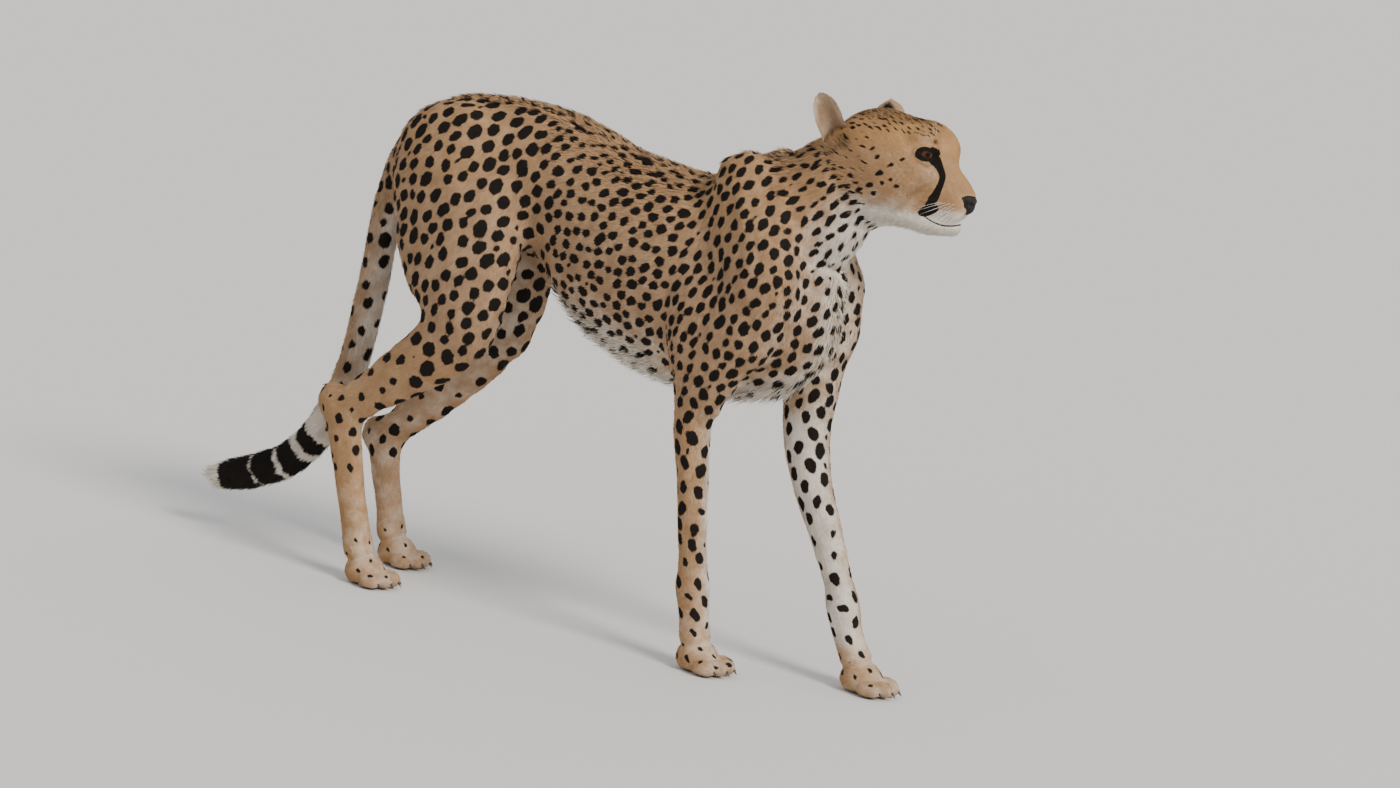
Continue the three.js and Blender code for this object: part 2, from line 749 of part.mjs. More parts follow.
function addPaw(leg, shape, name, ankle) {
  const { at, heading } = shape.paw;
  const [x, y] = [at[0], at[1] * shape.side];
  const { behind, ahead, beside, below, aboveAnkle, high: least } = PAW_BOX;
  const low = [x - behind, y - beside, -below];
  const high = [x + ahead, y + beside, Math.max(least, ankle.at[2] + aboveAnkle)];
  let paw = trim(netSolid(flesh, low, high, PAW_CELL), [back(ankle), FLOOR]);
  const [kind, side] = leg.split("_");
  TOES.forEach(([tx, ty, tz], n) => {
    const tip = new THREE.Matrix4()
      .makeRotationZ(radians(heading))
      .setPosition(x, y, 0)
      .multiply(new THREE.Matrix4().makeTranslation(tx + TOE_RADII[0] - 2, ty, tz - 1));
    paw = paw.subtract(clawSolid(tip, GAP));
    const label = `claw_${kind === "foreleg" ? "fore" : "hind"}_${side}_${n + 1}`;
    addNode(label, trim(clawSolid(tip), [FLOOR]), CLAW);
  });
  addNode(name, paw, COAT);
}

function addTail() {
  const parts = [
    ["tail_root", TAIL_CUTS, cut([-363, 0, 470], [0.05, 0, 1])],
    ["tail_middle", [], cut([-398, 0, 275], [0.3, 0, 0.95])],
    ["tail_end", [], cut([-596, 0, 92], [0.95, 0, 0.3])],
  ];
  const [low, high] = boxRound(TAIL, 1, TAIL_MARGIN);
  low[0] -= TAIL_BEHIND;
  high[0] = TAIL_FRONT;
  const solid = netSolid(flesh, low, high, TAIL_CELL);
  let above = [cut([TAIL_FRONT, 0, 600], [-1, 0, 0])];
  for (const [name, root, end] of parts) {
    addNode(name, trim(solid, [...above, ...root, end, cut([0, 0, 0], [-1, 0, 0])]), COAT);
    above = [back(end)];
  }
  addNode("tail_tip", trim(solid, above), PALE_COAT);
}

// ---------------------------------------------------------------- head
function tubeSolid(points, radius, sides, steps) {
  const curve = new THREE.CatmullRomCurve3(points.map(V));
  const ring = new THREE.Shape();
  for (let i = 0; i <= sides; i++) {
    const a = (i / sides) * 2 * Math.PI;
    if (i) ring.lineTo(radius * Math.cos(a), radius * Math.sin(a));
    else ring.moveTo(radius, 0);
  }
  return geometrySolid(new THREE.ExtrudeGeometry(ring, { extrudePath: curve, steps }), headTurn);
}

function sphereSolid(at, radii, across = 12, down = 8) {
  const place = headTurn
    .clone()
    .multiply(new THREE.Matrix4().makeTranslation(...at))
    .multiply(new THREE.Matrix4().makeScale(...radii));
  return geometrySolid(new THREE.SphereGeometry(1, across, down), place);
}

// The nearest point of the skin, in the head's frame.
function ontoHead(p) {
  let at = V(p).applyMatrix4(headTurn).toArray();
  for (let pass = 0; pass < 4; pass++) at = ontoSurface(flesh, at, 0, 8);
  return V(at).applyMatrix4(headTurnBack).toArray();
}

// The opening between one eye's lids, as an oval column along the gaze.
function openingSolid(side) {
  const gaze = V(mirror(OPENING.gaze, side)).normalize();
  const up = new THREE.Vector3(0, 0, 1).addScaledVector(gaze, -gaze.z).normalize();
  up.applyAxisAngle(gaze, side * radians(OPENING.lean));
  const place = headTurn
    .clone()
    .multiply(new THREE.Matrix4().makeTranslation(...mirror(EYE_AT, side)))
    .multiply(new THREE.Matrix4().makeBasis(gaze.clone().cross(up), gaze, up))
    .multiply(new THREE.Matrix4().makeTranslation(0, EYE_RADIUS, 0))
    .multiply(new THREE.Matrix4().makeScale(OPENING.across, EYE_RADIUS, OPENING.up));
  return geometrySolid(new THREE.CylinderGeometry(1, 1, 1, 16), place);
}

function addHead() {
  let head = trim(netSolid(flesh, ...HEAD_BOX, HEAD_CELL), [HEAD_CUT]);
  const leather = (grow) =>
    NOSE.map(({ at, radii }) => sphereSolid(at, radii.map((r) => r + grow), 10, 6)).reduce(
      (a, b) => a.add(b),
    );
  const nostrils = [-1, 1].map((side) =>
    sphereSolid(mirror(NOSTRIL.at, side), NOSTRIL.radii, 8, 6),
  );
  for (const side of [-1, 1]) {
    const socket = EYE_RADIUS + GAP;
    head = head.subtract(sphereSolid(mirror(EYE_AT, side), [socket, socket, socket]));
    head = head.subtract(openingSolid(side));
  }
  const lips = [...MOUTH.map((p) => mirror(p, -1)), ...MOUTH.slice(0, -1).reverse()];
  head = head.subtract(tubeSolid(lips.map(ontoHead), MOUTH_RADIUS, 6, 24));
  head = head.subtract(leather(GAP));
  addNode("nose", nostrils.reduce((a, b) => a.subtract(b), leather(0)), LEATHER);
  for (const [name, side] of [["right", -1], ["left", 1]]) {
    const ball = [EYE_RADIUS, EYE_RADIUS, EYE_RADIUS];
    addNode(`eye_${name}`, sphereSolid(mirror(EYE_AT, side), ball), EYE);
    addNode(`ear_${name}`, earSolid(EARS[name]), COAT);
    head = head.subtract(earSolid(EARS[name], 2 * GAP));
  }
  addNode("head", head, COAT);
}

// Ears: root, tip and the way the cup faces, in the head's frame, and the width.
const EARS = {
  right: { root: [-130, -45, 14], tip: [-152, -62, 64], faces: [0.35, -0.92, -0.1], width: 37 },
  left: { root: [-84, 42, 16], tip: [-81, 62, 59], faces: [0.2, 0.96, 0.1], width: 46 },
};
const EAR_CUP = 15; // how deep the cup is
const EAR_FLARE = 0.55; // how much shallower the cup gets towards the tip
const EAR_WALL = 4;
const EAR_THINNING = 0.35; // how much thinner the wall gets towards the tip
const EAR_NARROWING = 0.26; // how much narrower the root is
const EAR_ROOT = 0.2; // how much of the ear is set into the head, as a share of its height

// A cupped leaf with a front and a back face, closed along its rim and its root.
function earSolid({ root, tip, faces, width }, grow = 0) {
  const up = V(tip).sub(V(root));
  const height = up.length();
  up.normalize();
  const out = V(faces).addScaledVector(up, -V(faces).dot(up)).normalize();
  const across = up.clone().cross(out);
  const rows = 7;
  const columns = 6;
  const position = [];
  for (const back of [0, 1])
    for (let r = 0; r <= rows; r++)
      for (let c = 0; c <= columns; c++) {
        const t = Math.sin((r / rows) * (Math.PI / 2));
        const s = (c / columns) * 2 - 1;
        const top = Math.max(0, t - 0.5) / 0.5;
        const half = (width / 2) * Math.sqrt(Math.max(0.05, 1 - top ** 2.4));
        const narrow = 1 - EAR_NARROWING * (1 - Math.min(1, t / 0.5)) ** 2;
        const bend = EAR_CUP * (s * s - 1) * (1 - EAR_FLARE * t);
        const wall = back * EAR_WALL * (1 - EAR_THINNING * t) * (1 - 0.5 * s * s);
        const p = V(root)
          .addScaledVector(up, (t * (1 + EAR_ROOT) - EAR_ROOT) * height + (t ? grow : -grow))
          .addScaledVector(across, s * (half * narrow + back * grow))
          .addScaledVector(out, bend - wall + (back ? -grow : grow));
        position.push(p.x, p.y, p.z);
      }
  const at = (back, r, c) => (back * (rows + 1) + r) * (columns + 1) + c;
  const index = [];
  const quad = (a, b, c, d) => index.push(a, c, b, a, d, c);
  for (let r = 0; r < rows; r++)
    for (let c = 0; c < columns; c++) {
      quad(at(0, r, c), at(0, r + 1, c), at(0, r + 1, c + 1), at(0, r, c + 1));
      quad(at(1, r, c), at(1, r, c + 1), at(1, r + 1, c + 1), at(1, r + 1, c));
    }
  for (let r = 0; r < rows; r++) {
    quad(at(0, r, 0), at(1, r, 0), at(1, r + 1, 0), at(0, r + 1, 0));
    quad(at(0, r, columns), at(0, r + 1, columns), at(1, r + 1, columns), at(1, r, columns));
  }
  for (let c = 0; c < columns; c++) {
    quad(at(0, 0, c), at(0, 0, c + 1), at(1, 0, c + 1), at(1, 0, c));
    quad(at(0, rows, c), at(1, rows, c), at(1, rows, c + 1), at(0, rows, c + 1));
  }
  const geometry = new THREE.BufferGeometry();
  geometry.setAttribute("position", new THREE.Float32BufferAttribute(position, 3));
  geometry.setIndex(index);
  return geometrySolid(geometry, headTurn);
}

addTrunk();
addLowerLegs();
addTail();
addHead();

// The origin lies on the floor, under the middle of the animal.
const bounds = new THREE.Box3().setFromObject(model);
const middle = bounds.getCenter(new THREE.Vector3());
model.position.set(-middle.x, -middle.y, -bounds.min.z);

export default model;
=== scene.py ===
import itertools
import math

import bmesh
import bpy
import numpy as np
from mathutils import Matrix, Vector
from mathutils.bvhtree import BVHTree
from mathutils.kdtree import KDTree


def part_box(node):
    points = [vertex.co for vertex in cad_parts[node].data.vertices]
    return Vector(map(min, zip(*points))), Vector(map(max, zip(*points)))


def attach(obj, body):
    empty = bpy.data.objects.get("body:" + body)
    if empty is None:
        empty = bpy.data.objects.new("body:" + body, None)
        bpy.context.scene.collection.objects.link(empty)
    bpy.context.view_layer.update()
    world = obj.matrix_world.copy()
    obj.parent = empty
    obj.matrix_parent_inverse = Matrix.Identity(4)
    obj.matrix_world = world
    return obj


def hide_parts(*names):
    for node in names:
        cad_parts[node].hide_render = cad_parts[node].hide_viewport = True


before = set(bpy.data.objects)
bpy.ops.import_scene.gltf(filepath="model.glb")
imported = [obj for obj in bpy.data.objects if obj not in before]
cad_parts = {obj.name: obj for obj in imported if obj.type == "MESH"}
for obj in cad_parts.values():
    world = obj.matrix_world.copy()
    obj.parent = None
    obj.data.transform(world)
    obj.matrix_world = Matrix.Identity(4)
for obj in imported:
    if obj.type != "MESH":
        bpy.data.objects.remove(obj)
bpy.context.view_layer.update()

rng = np.random.default_rng(7)
MM = 0.001

# ---------------- driving sizes
VOXEL = 4.4 * MM  # the skin's own mesh, which is halved on the head and paws
WELD = 0.6 * MM  # how far the nodes are grown so that their gaps close
SMOOTHING = 160  # rounds that take the voxels' steps out of the skin
LID_HALF_WIDTH = 39  # degrees, seen from the middle of the eyeball
LID_UP = 15
LID_DOWN = 14
LID_TILT = 7
GAZE = (0.66, 0.75, -0.03)  # the left eye's, in the head's frame
NOSE_MIDDLE = (57, 0, -60)
BEFORE_EYES = 8  # mm from the line through the eyeballs forward to the head frame's origin

# Per node: coat depth, tuft length, width, lift and spacing in mm, and the lie of the coat.
COAT = {
    "head": (1.1, 6.2, 0.95, 0.14, 1.85, None),
    "neck": (2.4, 11.5, 1.1, 0.11, 2.75, (-0.75, 0, -0.65)),
    "chest": (2.2, 10.5, 1.25, 0.11, 3.4, (-1, 0, -0.3)),
    "loin": (2.2, 10.5, 1.25, 0.11, 3.4, (-1, 0, -0.25)),
    "hindquarters": (2.2, 10.5, 1.25, 0.11, 3.4, (-1, 0, -0.5)),
    "shoulder": (2.0, 9.5, 1.15, 0.11, 3.2, (-0.35, 0, -1)),
    "thigh": (2.0, 9.5, 1.2, 0.11, 3.35, (-0.5, 0, -1)),
    "forearm": (1.4, 7, 1.1, 0.11, 2.7, "down"),
    "shank": (1.6, 8, 1.15, 0.12, 2.8, "down"),
    "hindfoot": (1.3, 6.5, 1.1, 0.11, 2.6, "down"),
    "forepaw": (1.0, 4.6, 0.95, 0.12, 2.25, (1, 0, -0.5)),
    "hindpaw": (1.0, 4.6, 0.95, 0.12, 2.25, (1, 0, -0.5)),
    "tail_root": (2.4, 12, 1.25, 0.18, 2.9, "down"),
    "tail_middle": (2.6, 13, 1.25, 0.2, 2.9, "down"),
    "tail_end": (2.8, 15, 1.3, 0.25, 2.8, "back"),
    "tail_tip": (3.0, 18, 1.3, 0.3, 2.5, "back"),
}

# Per node: how far apart the spots are, their half length along the coat and half width, in mm.
SPOTS = {
    "neck": (22, 8.0, 5.8),
    "chest": (19.8, 9.0, 7.2),
    "loin": (19.8, 8.8, 7.2),
    "hindquarters": (22.5, 10.0, 8.4),
    "shoulder": (20.5, 9.2, 7.0),
    "thigh": (24.8, 11.0, 9.4),
    "forearm": (23.5, 11.8, 8.0),
    "shank": (33, 12.0, 10.0),
    "hindfoot": (27, 8.0, 6.0),
    "forepaw": (25, 4.6, 3.2),
    "hindpaw": (27, 3.6, 2.8),
    "tail_root": (26, 11.5, 9.5),
    "tail_middle": (29, 14, 11.5),
    "tail_end": (31, 14, 12),
}

# The head's forms, in its own frame: x forward, y left, z up from between the eyes, in mm. An
# ellipsoid has its middle, its radii, and how softly it melts into those before it. A swept form
# has stations: a middle, and the radii across and up.
HEAD_FORMS = [
    ((-70, 0, 0), (62, 51, 51), 14),
    ((-14, 0, 4), (52, 35, 40), 16),
    ((-58, 0, -61), (54, 44, 43), 16),
    ((0, 0, -66), (46, 27, 30), 14),
]
HEAD_PAIRS = [
    ((-48, 33, -34), (42, 24, 42), 16),
    ((-22, 33, -30), (34, 16, 20), 12),
    ((-26, 28, -4), (22, 13, 18), 8),
    ((-8, 26, 20), (26, 12, 8), 9),
    ((40, 12, -68), (20, 13, 20), 8),
    ((-8, 24.5, 0), (19.5, 18.8, 18.8), 7),
]
MUZZLE = [
    (-6, 0, -26, 31, 32), (20, 0, -38, 24, 29), (37, 0, -46, 19, 24), (52, 0, -56, 15, 18),
]
MUZZLE_MELT = 16
JAW = [
    (-48, 0, -80, 33, 22), (-10, 0, -88, 26, 18), (18, 0, -94, 19, 16), (40, 0, -94, 13, 13.5),
]
JAW_MELT = 9
# The lines of the mouth and of a nostril, on the left side, and the forms of the nose.
MOUTH = [(2, 34, -83), (15, 30, -90), (30, 24, -94), (44, 16, -93), (53, 8, -90), (57, 0, -87)]
NOSE_FORMS = [((55, 0, -58), (14, 16, 12), 5), ((54, 0, -67), (13, 10, 10), 5)]
NOSTRIL = [(68, 6, -62), (65, 10, -61), (60, 14.5, -60), (54, 16, -57)]
# In the whole animal's frame, in mm: the head frame's origin, and the neck's and tail's stations.
HEAD_IN_MODEL = (525.7, 40, 762.6)
NECK = [
    (322, 0, 610, 70, 92), (362, 5, 650, 65, 87), (400, 14, 697, 60, 73), (432, 24, 735, 56, 58),
]
HEAD_MELT = 22  # how softly the head melts into the neck
TAIL = [
    (-640, 0, 76), (-608, 0, 88), (-555, 0, 106), (-490, 0, 138), (-438, 0, 193),
    (-402, 0, 265), (-382, 0, 335), (-371, 0, 405), (-353, 0, 556), (-302, 0, 670),
]
TAIL_RINGS = [(34, 100), (105, 148), (159, 192), (208, 232)]  # mm from the tip
# Ears: root, tip, the way the cup faces, and the width.
EAR_SHAPES = {
    "ear_right": ((-131, -45, 14), (-151, -61, 61), (0.35, -0.92, -0.1), 36),
    "ear_left": ((-84, 42, 16), (-82, 61, 56), (0.2, 0.96, 0.1), 50),
}
EAR_CUP = 15  # how deep the cup is, how thick its wall is, and how far its foot is tucked in
EAR_WALL = 3.4
EAR_TUCK = 17
EAR_ROOT = 0.38  # how much of an ear is sunk into the head, as a share of its height
EAR_FOOT = (-5, 0, -9)  # from an ear's root to the middle of the longer coat round it
# Dark patches below and before each ear: forward and up from its root, radius, and how dark.
# The patch before the ear is a black tuft; the two below it are dark hairs with painted shade under the
# ear.
EAR_MARKS_AND_SHADE = [(18, 15, 8, 0.95), (17, -14, 13, 0.5), (3, -27, 10, 0.45)]
# The black line from the eye to the mouth: forward, up and half width.
TEAR_LINE = [
    (7, -2, 7.5), (13, -8, 6.8), (18.5, -17, 4.8), (23, -27, 4.2), (22.5, -37, 4.2),
    (20, -46, 4.6), (17, -55, 5.8), (14, -61, 6.0), (10, -68, 4.6),
]
# Cheek spots: forward, up, half length and half width.
CHEEK_SPOTS = [
    (-71, -2, 3.2, 2.2), (-62, -11, 4.2, 2.6), (-28, -10, 4.2, 2.0), (-42, -20, 5.0, 2.4),
    (-56, -33, 5.4, 3.2), (-68, -51, 5.0, 3.2), (-50, -45, 3.6, 2.4), (-39, -39, 3.2, 2.2),
    (-31, -47, 3.2, 2.4), (-61, -61, 4.2, 3.0), (-83, -60, 5.0, 3.4), (-87, -76, 4.4, 3.0),
    (-96, -42, 4.0, 2.6), (-98, -58, 4.6, 2.8),
]

# A paw's forms, from the middle of its pad.
PAW_FORMS = [
    ((2, 0, 15), (33, 27, 19), 8),
    ((-2, 0, 26), (26, 23, 20), 14),
    ((26, -25, 12), (20, 10.5, 12.5), 3.5),
    ((37, -9, 13), (20, 10, 12.5), 3),
    ((37, 9, 13), (20, 10, 12.5), 3),
    ((26, 25, 12), (20, 10.5, 12.5), 3.5),
]
CLAW_REACH = 66  # from a pad's middle forward to the mean of its claws' tips

# The camera, fitted to the photograph: where it stands from the head in metres, and its axes.
CAMERA_FROM_HEAD = (2.39341, -4.34858, 0.42469)
CAMERA_RIGHT = (0.8315237, 0.54229781, 0.12033874)
CAMERA_UP = (-0.18644922, 0.06840394, 0.9800804)
CAMERA_LENS = 93.86
SENSOR = 36


# ---------------- small helpers
def smoothstep(low, high, v):
    t = np.clip((v - low) / (high - low), 0, 1)
    return t * t * (3 - 2 * t)


def hump(distance, radius):
    """1 at no distance, falling to 0 about twice the radius away."""
    return np.exp(-((distance / radius) ** 2))


def disc(distance, radius):
    """1 in the inner half of the radius, falling to 0 beyond it."""
    return np.exp(-((distance / radius) ** 4))


def unit(v):
    return v / np.maximum(np.linalg.norm(v, axis=-1, keepdims=True), 1e-12)


def points_of(mesh):
    co = np.empty(len(mesh.vertices) * 3, np.float32)
    mesh.vertices.foreach_get("co", co)
    return co.reshape(-1, 3).astype(float)


def triangles_of(mesh):
    mesh.calc_loop_triangles()
    tris = np.empty(len(mesh.loop_triangles) * 3, np.int32)
    mesh.loop_triangles.foreach_get("vertices", tris)
    return tris.reshape(-1, 3)


def surface_tree(points, tris):
    return BVHTree.FromPolygons(points.tolist(), tris.tolist())


def point_tree(points):
    tree = KDTree(len(points))
    for k, p in enumerate(points.tolist()):
        tree.insert(p, k)
    tree.balance()
    return tree


def welded(points, tris):
    key = np.round(points / (0.01 * MM)).astype(np.int64)
    _, first, place = np.unique(key, axis=0, return_index=True, return_inverse=True)
    tris = place.reshape(-1)[tris]
    whole = (tris[:, 0] != tris[:, 1]) & (tris[:, 1] != tris[:, 2]) & (tris[:, 2] != tris[:, 0])
    return points[first], tris[whole]


def summed(index, values, count):
    return np.stack([np.bincount(index, values[:, k], count) for k in range(values.shape[1])], 1)


def normals_of(points, tris):
    a, b, c = (points[tris[:, k]] for k in range(3))
    face = np.cross(b - a, c - a)
    return unit(sum(summed(tris[:, k], face, len(points)) for k in range(3)))


def ring_quads(rows, columns):
    """Faces between rows of points, where each row is a closed ring."""
    grid = np.arange(rows * columns).reshape(rows, columns)
    beside = np.roll(grid, -1, 1)
    return np.stack((grid[:-1], grid[1:], beside[1:], beside[:-1]), -1).reshape(-1, 4)


def split(quads):
    """Two triangles for each face of four corners."""
    return np.concatenate((quads[:, :3], quads[:, [0, 2, 3]]))


def new_mesh(name, points, faces):
    mesh = bpy.data.meshes.new(name)
    mesh.vertices.add(len(points))
    mesh.vertices.foreach_set("co", np.asarray(points, np.float32).ravel())
    size = faces.shape[1]
    mesh.loops.add(faces.size)
    mesh.loops.foreach_set("vertex_index", np.asarray(faces, np.int32).ravel())
    mesh.polygons.add(len(faces))
    mesh.polygons.foreach_set("loop_start", np.arange(0, faces.size, size, dtype=np.int32))
    mesh.update(calc_edges=True)
    mesh.validate()
    return mesh


def new_object(name, mesh, slot=None, stands_for=()):
    made = bpy.data.objects.new(name, mesh)
    bpy.context.scene.collection.objects.link(made)
    if slot:
        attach(made, "root")
        if stands_for:
            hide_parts(*stands_for)
    return made


def set_smooth(mesh):
    mesh.polygons.foreach_set("use_smooth", np.ones(len(mesh.polygons), bool))


def add_attribute(mesh, name, values):
    layer = mesh.attributes.new(name, "FLOAT", "POINT")
    layer.data.foreach_set("value", np.asarray(values, np.float32))


def node_name(name):
    """The name that a node's table rows go by."""
    return name if name.startswith("tail") else name.split("_")[0]


NODES = sorted(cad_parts)
EARS = ["ear_left", "ear_right"]
CLAWS = [n for n in NODES if n.startswith("claw")]
APART = ["eye_left", "eye_right", "nose"] + EARS + CLAWS
FLESH = [n for n in NODES if n not in APART]
SHAPES = {}
for node in NODES:
    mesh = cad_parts[node].data
    SHAPES[node] = welded(points_of(mesh), triangles_of(mesh))


def joined(names, grow=0.0):
    """Several nodes as one mesh, with the number of each triangle's node."""
    points, tris, owner, base = [], [], [], 0
    for number, name in enumerate(names):
        p, t = SHAPES[name]
        points.append(p + normals_of(p, t) * grow)
        tris.append(t + base)
        owner.append(np.full(len(t), number))
        base += len(p)
    return np.concatenate(points), np.concatenate(tris), np.concatenate(owner)


# ---------------- the head's frame
def node_middle(name):
    low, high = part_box(name)
    return (np.array(low) + np.array(high)) / 2


eye_left = node_middle("eye_left")
eye_right = node_middle("eye_right")
head_y = unit(eye_left - eye_right)
head_z = np.array((0.0, 0.0, 1.0))
head_x = np.cross(head_y, head_z)
HEAD_AXES = np.stack((head_x, head_y, head_z))
HEAD_AT = (eye_left + eye_right) / 2 + BEFORE_EYES * MM * head_x


def to_head(points):
    """Row frame in metres to the head's frame in mm."""
    return (points - HEAD_AT) @ HEAD_AXES.T / MM


def from_head(points):
    return np.asarray(points, float) * MM @ HEAD_AXES + HEAD_AT


def in_model(points):
    """Row frame in metres to the whole animal's frame in mm."""
    return (points - HEAD_AT) / MM + HEAD_IN_MODEL


def mirrored(line, side):
    """Points given for the left, side 1, as they are on either side."""
    return np.array(line, float) * (1, side, 1)


def ear_line(name):
    """An ear's root and tip, in the head's frame."""
    root, tip, _, _ = EAR_SHAPES[name]
    return np.array(root, float), np.array(tip, float)


# ---------------- fields, in mm
def ellipsoid(p, at, radii):
    """Distance to an ellipsoid, which is good near its surface."""
    q = (p - at) / radii
    k0 = np.linalg.norm(q, axis=1)
    k1 = np.linalg.norm(q / radii, axis=1)
    return k0 * (k0 - 1) / np.maximum(k1, 1e-9)


def curve_through(points, steps):
    """Points on a smooth curve through the given ones, with whatever values they carry."""
    p = np.array(points, float)
    p = np.vstack((2 * p[0] - p[1], p, 2 * p[-1] - p[-2]))
    made = []
    for i in range(1, len(p) - 2):
        for t in np.arange(steps) / steps:
            a, b, c, d = p[i - 1 : i + 3]
            square = 2 * a - 5 * b + 4 * c - d
            cube = 3 * b - a - 3 * c + d
            made.append(0.5 * (2 * b + (c - a) * t + square * t**2 + cube * t**3))
    return np.array(made + [p[-2]])


def sweep(p, stations):
    """Distance to a form swept through stations, each a middle, a half width and a half depth."""
    s = curve_through(stations, 5)
    best = np.full(len(p), np.inf)
    for one, two in zip(s, s[1:]):
        along = two[:3] - one[:3]
        length = np.linalg.norm(along)
        along = along / length
        across = unit((0, 1, 0) - along * along[1])
        deep = np.cross(along, across)
        r = p - one[:3]
        q = r @ along
        t = np.clip(q / length, 0, 1)
        w = q - t * length
        ru = one[3] + (two[3] - one[3]) * t
        rv = one[4] + (two[4] - one[4]) * t
        rw = np.minimum(ru, rv)
        u, v = r @ across, r @ deep
        k0 = np.sqrt((u / ru) ** 2 + (v / rv) ** 2 + (w / rw) ** 2)
        k1 = np.sqrt((u / ru**2) ** 2 + (v / rv**2) ** 2 + (w / rw**2) ** 2)
        best = np.minimum(best, k0 * (k0 - 1) / np.maximum(k1, 1e-9))
    return best


def melted(distances):
    """Joins distances into one, each melting softly into those before it."""
    total = distances[0][0]
    for d, melt in distances[1:]:
        h = np.maximum(melt - np.abs(total - d), 0) / melt
        total = np.minimum(total, d) - h * h * melt / 4
    return total


def ellipsoids(p, forms, side=1):
    return [(ellipsoid(p, mirrored(at, side), radii), melt) for at, radii, melt in forms]


def head_field(p):
    swept = [(sweep(p, MUZZLE), MUZZLE_MELT), (sweep(p, JAW), JAW_MELT)]
    pairs = ellipsoids(p, HEAD_PAIRS, -1) + ellipsoids(p, HEAD_PAIRS)
    return melted(ellipsoids(p, HEAD_FORMS) + swept + pairs)


def head_and_neck(p):
    return melted([(sweep(in_model(from_head(p)), NECK), 0), (head_field(p), HEAD_MELT)])


def paw_field(p):
    return melted(ellipsoids(p, PAW_FORMS))


def nose_field(p):
    return melted(ellipsoids(p, NOSE_FORMS))


def onto_field(field, p, near, far, passes=3, step=0.4, most=6):
    """Moves points onto a field's surface, those nearer than near wholly, beyond far not at all."""
    p = p.copy()
    share = 1 - smoothstep(near, far, np.abs(field(p)))
    chosen = share > 0
    q = p[chosen]
    for _ in range(passes):
        d = field(q)
        slope = np.stack([field(q + e) - field(q - e) for e in np.eye(3) * step], 1) / (2 * step)
        size = np.maximum((slope**2).sum(1), 0.05)
        q = q - slope * np.clip(d / size, -most, most)[:, None]
    p[chosen] += (q - p[chosen]) * share[chosen, None]
    return p


# ---------------- the skin's mesh
class Skin:
    """One closed mesh, as arrays that every step reads and moves."""

    def __init__(self, mesh):
        self.mesh = mesh
        self.refresh()

    def refresh(self):
        self.points = points_of(self.mesh)
        edges = np.empty(len(self.mesh.edges) * 2, np.int32)
        self.mesh.edges.foreach_get("vertices", edges)
        self.edges = edges.reshape(-1, 2)
        self.tris = triangles_of(self.mesh)
        self.count = len(self.points)
        self.degree = np.bincount(self.edges.ravel(), minlength=self.count).clip(1)
        self.ends = np.concatenate((self.edges[:, 0], self.edges[:, 1]))
        self.others = np.concatenate((self.edges[:, 1], self.edges[:, 0]))

    def mean(self, values):
        return summed(self.ends, values[self.others], self.count) / self.degree[:, None]

    def soften(self, values, steps):
        """Evens out values, in one column or more, over the surface."""
        v = values.reshape(self.count, -1)
        for _ in range(steps):
            v = v + (self.mean(v) - v) * 0.5
        return v.reshape(values.shape)

    def relax(self, steps, passed=0.05, share=0.5):
        """Smooths the surface without shrinking it."""
        back = share / (passed * share - 1)
        for _ in range(steps):
            for factor in (share, back):
                self.points = self.points + (self.mean(self.points) - self.points) * factor

    def normals(self):
        return normals_of(self.points, self.tris)

    def store(self):
        self.mesh.vertices.foreach_set("co", self.points.astype(np.float32).ravel())
        self.mesh.update()

    def halve(self, chosen):
        """Splits the faces all of whose corners are chosen."""
        self.store()
        bm = bmesh.new()
        bm.from_mesh(self.mesh)
        bm.verts.ensure_lookup_table()
        edges = {e for f in bm.faces if all(chosen[v.index] for v in f.verts) for e in f.edges}
        bmesh.ops.subdivide_edges(bm, edges=list(edges), cuts=1, use_grid_fill=True)
        bmesh.ops.triangulate(bm, faces=[f for f in bm.faces if len(f.verts) > 4])
        bm.to_mesh(self.mesh)
        bm.free()
        self.refresh()


def voxel_mesh():
    """The flesh, eyes and nose as one even mesh, without the small pieces inside it."""
    points, tris, _ = joined(FLESH + ["eye_left", "eye_right", "nose"], WELD)
    draft = bpy.data.objects.new("draft", new_mesh("draft", points, tris))
    bpy.context.scene.collection.objects.link(draft)
    remesh = draft.modifiers.new("voxels", "REMESH")
    remesh.mode = "VOXEL"
    remesh.voxel_size = VOXEL
    evaluated = draft.evaluated_get(bpy.context.evaluated_depsgraph_get())
    made = bpy.data.meshes.new_from_object(evaluated)
    bpy.data.objects.remove(draft)
    bm = bmesh.new()
    bm.from_mesh(made)
    groups, seen = [], set()
    for vert in bm.verts:
        if vert in seen:
            continue
        group, front = {vert}, [vert]
        while front:
            for edge in front.pop().link_edges:
                for other in edge.verts:
                    if other not in group:
                        group.add(other)
                        front.append(other)
        seen |= group
        groups.append(group)
    largest = max(groups, key=len)
    bmesh.ops.delete(bm, geom=[v for v in bm.verts if v not in largest], context="VERTS")
    bm.to_mesh(made)
    bm.free()
    return made


def distance_to_line(points, line):
    """Each point's distance to a line of points, and how far along it is, from 0 to 1."""
    best = np.full(len(points), np.inf)
    along = np.zeros(len(points))
    for k, (a, b) in enumerate(zip(line, line[1:])):
        ab = b - a
        t = np.clip((points - a) @ ab / (ab @ ab), 0, 1)
        d = np.linalg.norm(points - a - t[:, None] * ab, axis=1)
        nearer = d < best
        best[nearer] = d[nearer]
        along[nearer] = (k + t[nearer]) / (len(line) - 1)
    return best, along


def stroke(skin, line, radius, height, taper=False):
    """Raises the skin along a line in the head's frame, or lowers it."""
    local = to_head(skin.points)
    d, along = distance_to_line(local, curve_through(line, 6))
    share = hump(d, radius)
    if taper:
        share = share * np.sin(np.pi * np.clip(along, 0.04, 0.96))
    skin.points = skin.points + skin.normals() * (share * height * MM)[:, None]


